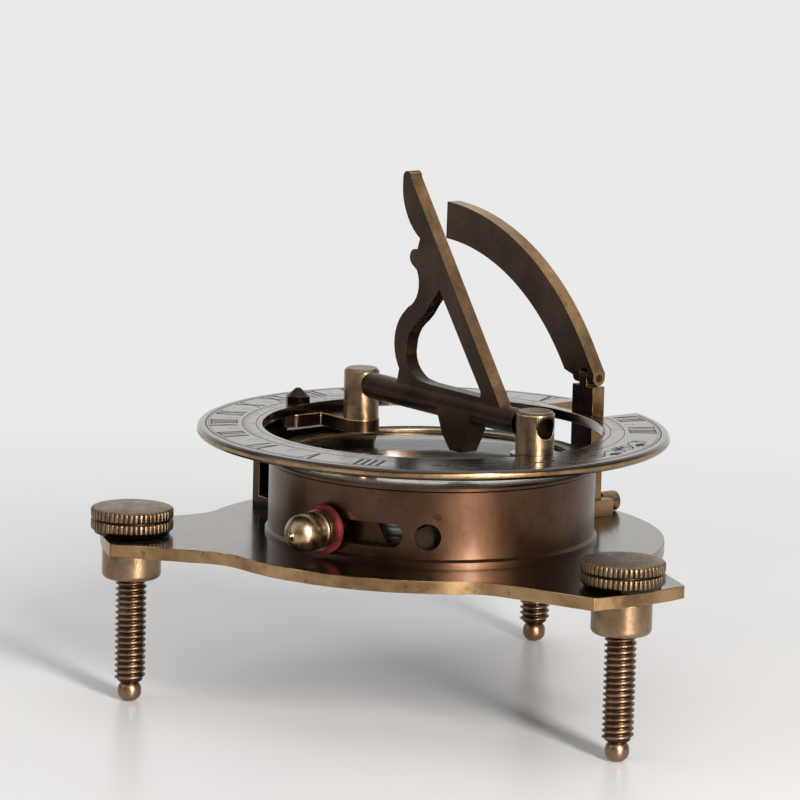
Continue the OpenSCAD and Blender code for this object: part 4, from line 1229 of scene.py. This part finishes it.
def red_fibre(name, dark, light):
    """Two noises: a coarse one mottles the dye, a fine one lifts the fibres."""
    paint, tree, where = new_paint(name)
    mottle = spread(tree, noise(tree, where, 380.0, 5.0), 0.35, 0.65)
    fibre = noise(tree, where, 2200.0, 4.0)
    return finish_paint(paint, fibre, 0.6, 0.00008, {
        "Base Color": mix_colours(tree, mottle, dark, light), "Specular IOR Level": 0.2,
        "Roughness": spread(tree, fibre, 0.3, 0.7, 0.50, 0.75)})


PAINTS["fibre"] = red_fibre("red_fibre", (0.055, 0.007, 0.007, 1.0), (0.150, 0.018, 0.017, 1.0))
WASHER_ROUND = 0.3
washer_mesh = whole_faces(NODES["lock_washer"])
washer_mesh.name = "lock_washer_softened"
washer = finish_piece(washer_mesh.name, washer_mesh, (PAINTS["fibre"],), "needle_lock")
bevel_edges(washer, "pressed edges", WASHER_ROUND, 3)
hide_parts("lock_washer")
print("washer rounded by", WASHER_ROUND, "mm")

# %% [markdown]
# ## The parts that keep their CAD shape
# What is left are pins, small screws and the parts of the needle lock inside the drum. Their shapes
# are right, so each only needs a finish that suits it: brass for what is turned, dark bronze for what
# shows, and near-black for what lies deep inside, which is painted shade. Behind the slot in the drum
# a spring leaf of brushed steel catches some light, and it is the one new piece here.

# %% Dress the rest


def brushed_steel(name):
    """Fine level lines, as a noise stretched along the drum, on grey steel."""
    paint, tree, where = new_paint(name)
    stretched = add_node(tree, "ShaderNodeMapping", {"Vector": where, "Scale": (60, 60, 1900)}).outputs[0]
    line = spread(tree, noise(tree, stretched, 1.0, 3.0), 0.40, 0.60)
    grey = mix_colours(tree, line, (0.080, 0.077, 0.072, 1.0), (0.340, 0.330, 0.320, 1.0))
    return finish_paint(paint, line, 0.4, 0.00005, {
        "Base Color": grey, "Roughness": spread(tree, line, 0.0, 1.0, 0.50, 0.34), "Metallic": 1.0})


PAINTS["steel"] = brushed_steel("brushed_steel")
LEAF_R = 29.1
LEAF_THICK = 0.3
LEAF_AZIMUTH = (206.0, 222.0)
LEAF_HEIGHT = (38.6, 45.0)


def bent_leaf():
    """A closed band: a rectangle of thickness by height, carried along an arc round the drum's axis."""
    a = np.radians(np.linspace(LEAF_AZIMUTH[0], LEAF_AZIMUTH[1], 15))[:, None]
    inner = LEAF_R - LEAF_THICK
    radius = np.array([inner, LEAF_R, LEAF_R, inner])
    height = np.repeat(LEAF_HEIGHT, 2)
    sides = grid_faces(len(a), 4, True)
    ends = np.array([[0, 1, 2, 3], [len(a) * 4 - 4 + i for i in (3, 2, 1, 0)]])
    return round_points(radius, a, height), np.concatenate([sides, ends])


mesh = surface_mesh("slot_spring_leaf", (bent_leaf(),))
for face in mesh.polygons:
    face.use_smooth = False
finish_piece(mesh.name, mesh, (PAINTS["steel"],), "stand")
DRESSED = {
    "brass": ("drum_screws", "pivot_post", "needle_cap", "lift_sleeve", "lock_collar"),
    "gnomon": ("arc_pin", "hinge_pin", "dial_screws", "lock_stud"),
    # painted shade: these parts deep in the drum are dressed near-black
    "inside": ("dial_plate", "lift_lever", "lever_bracket", "lever_pin"),
}
for paint, members in DRESSED.items():
    for member in members:
        dress(member, paint)
print("nodes dressed:", sum(len(members) for members in DRESSED.values()), "and a spring leaf")
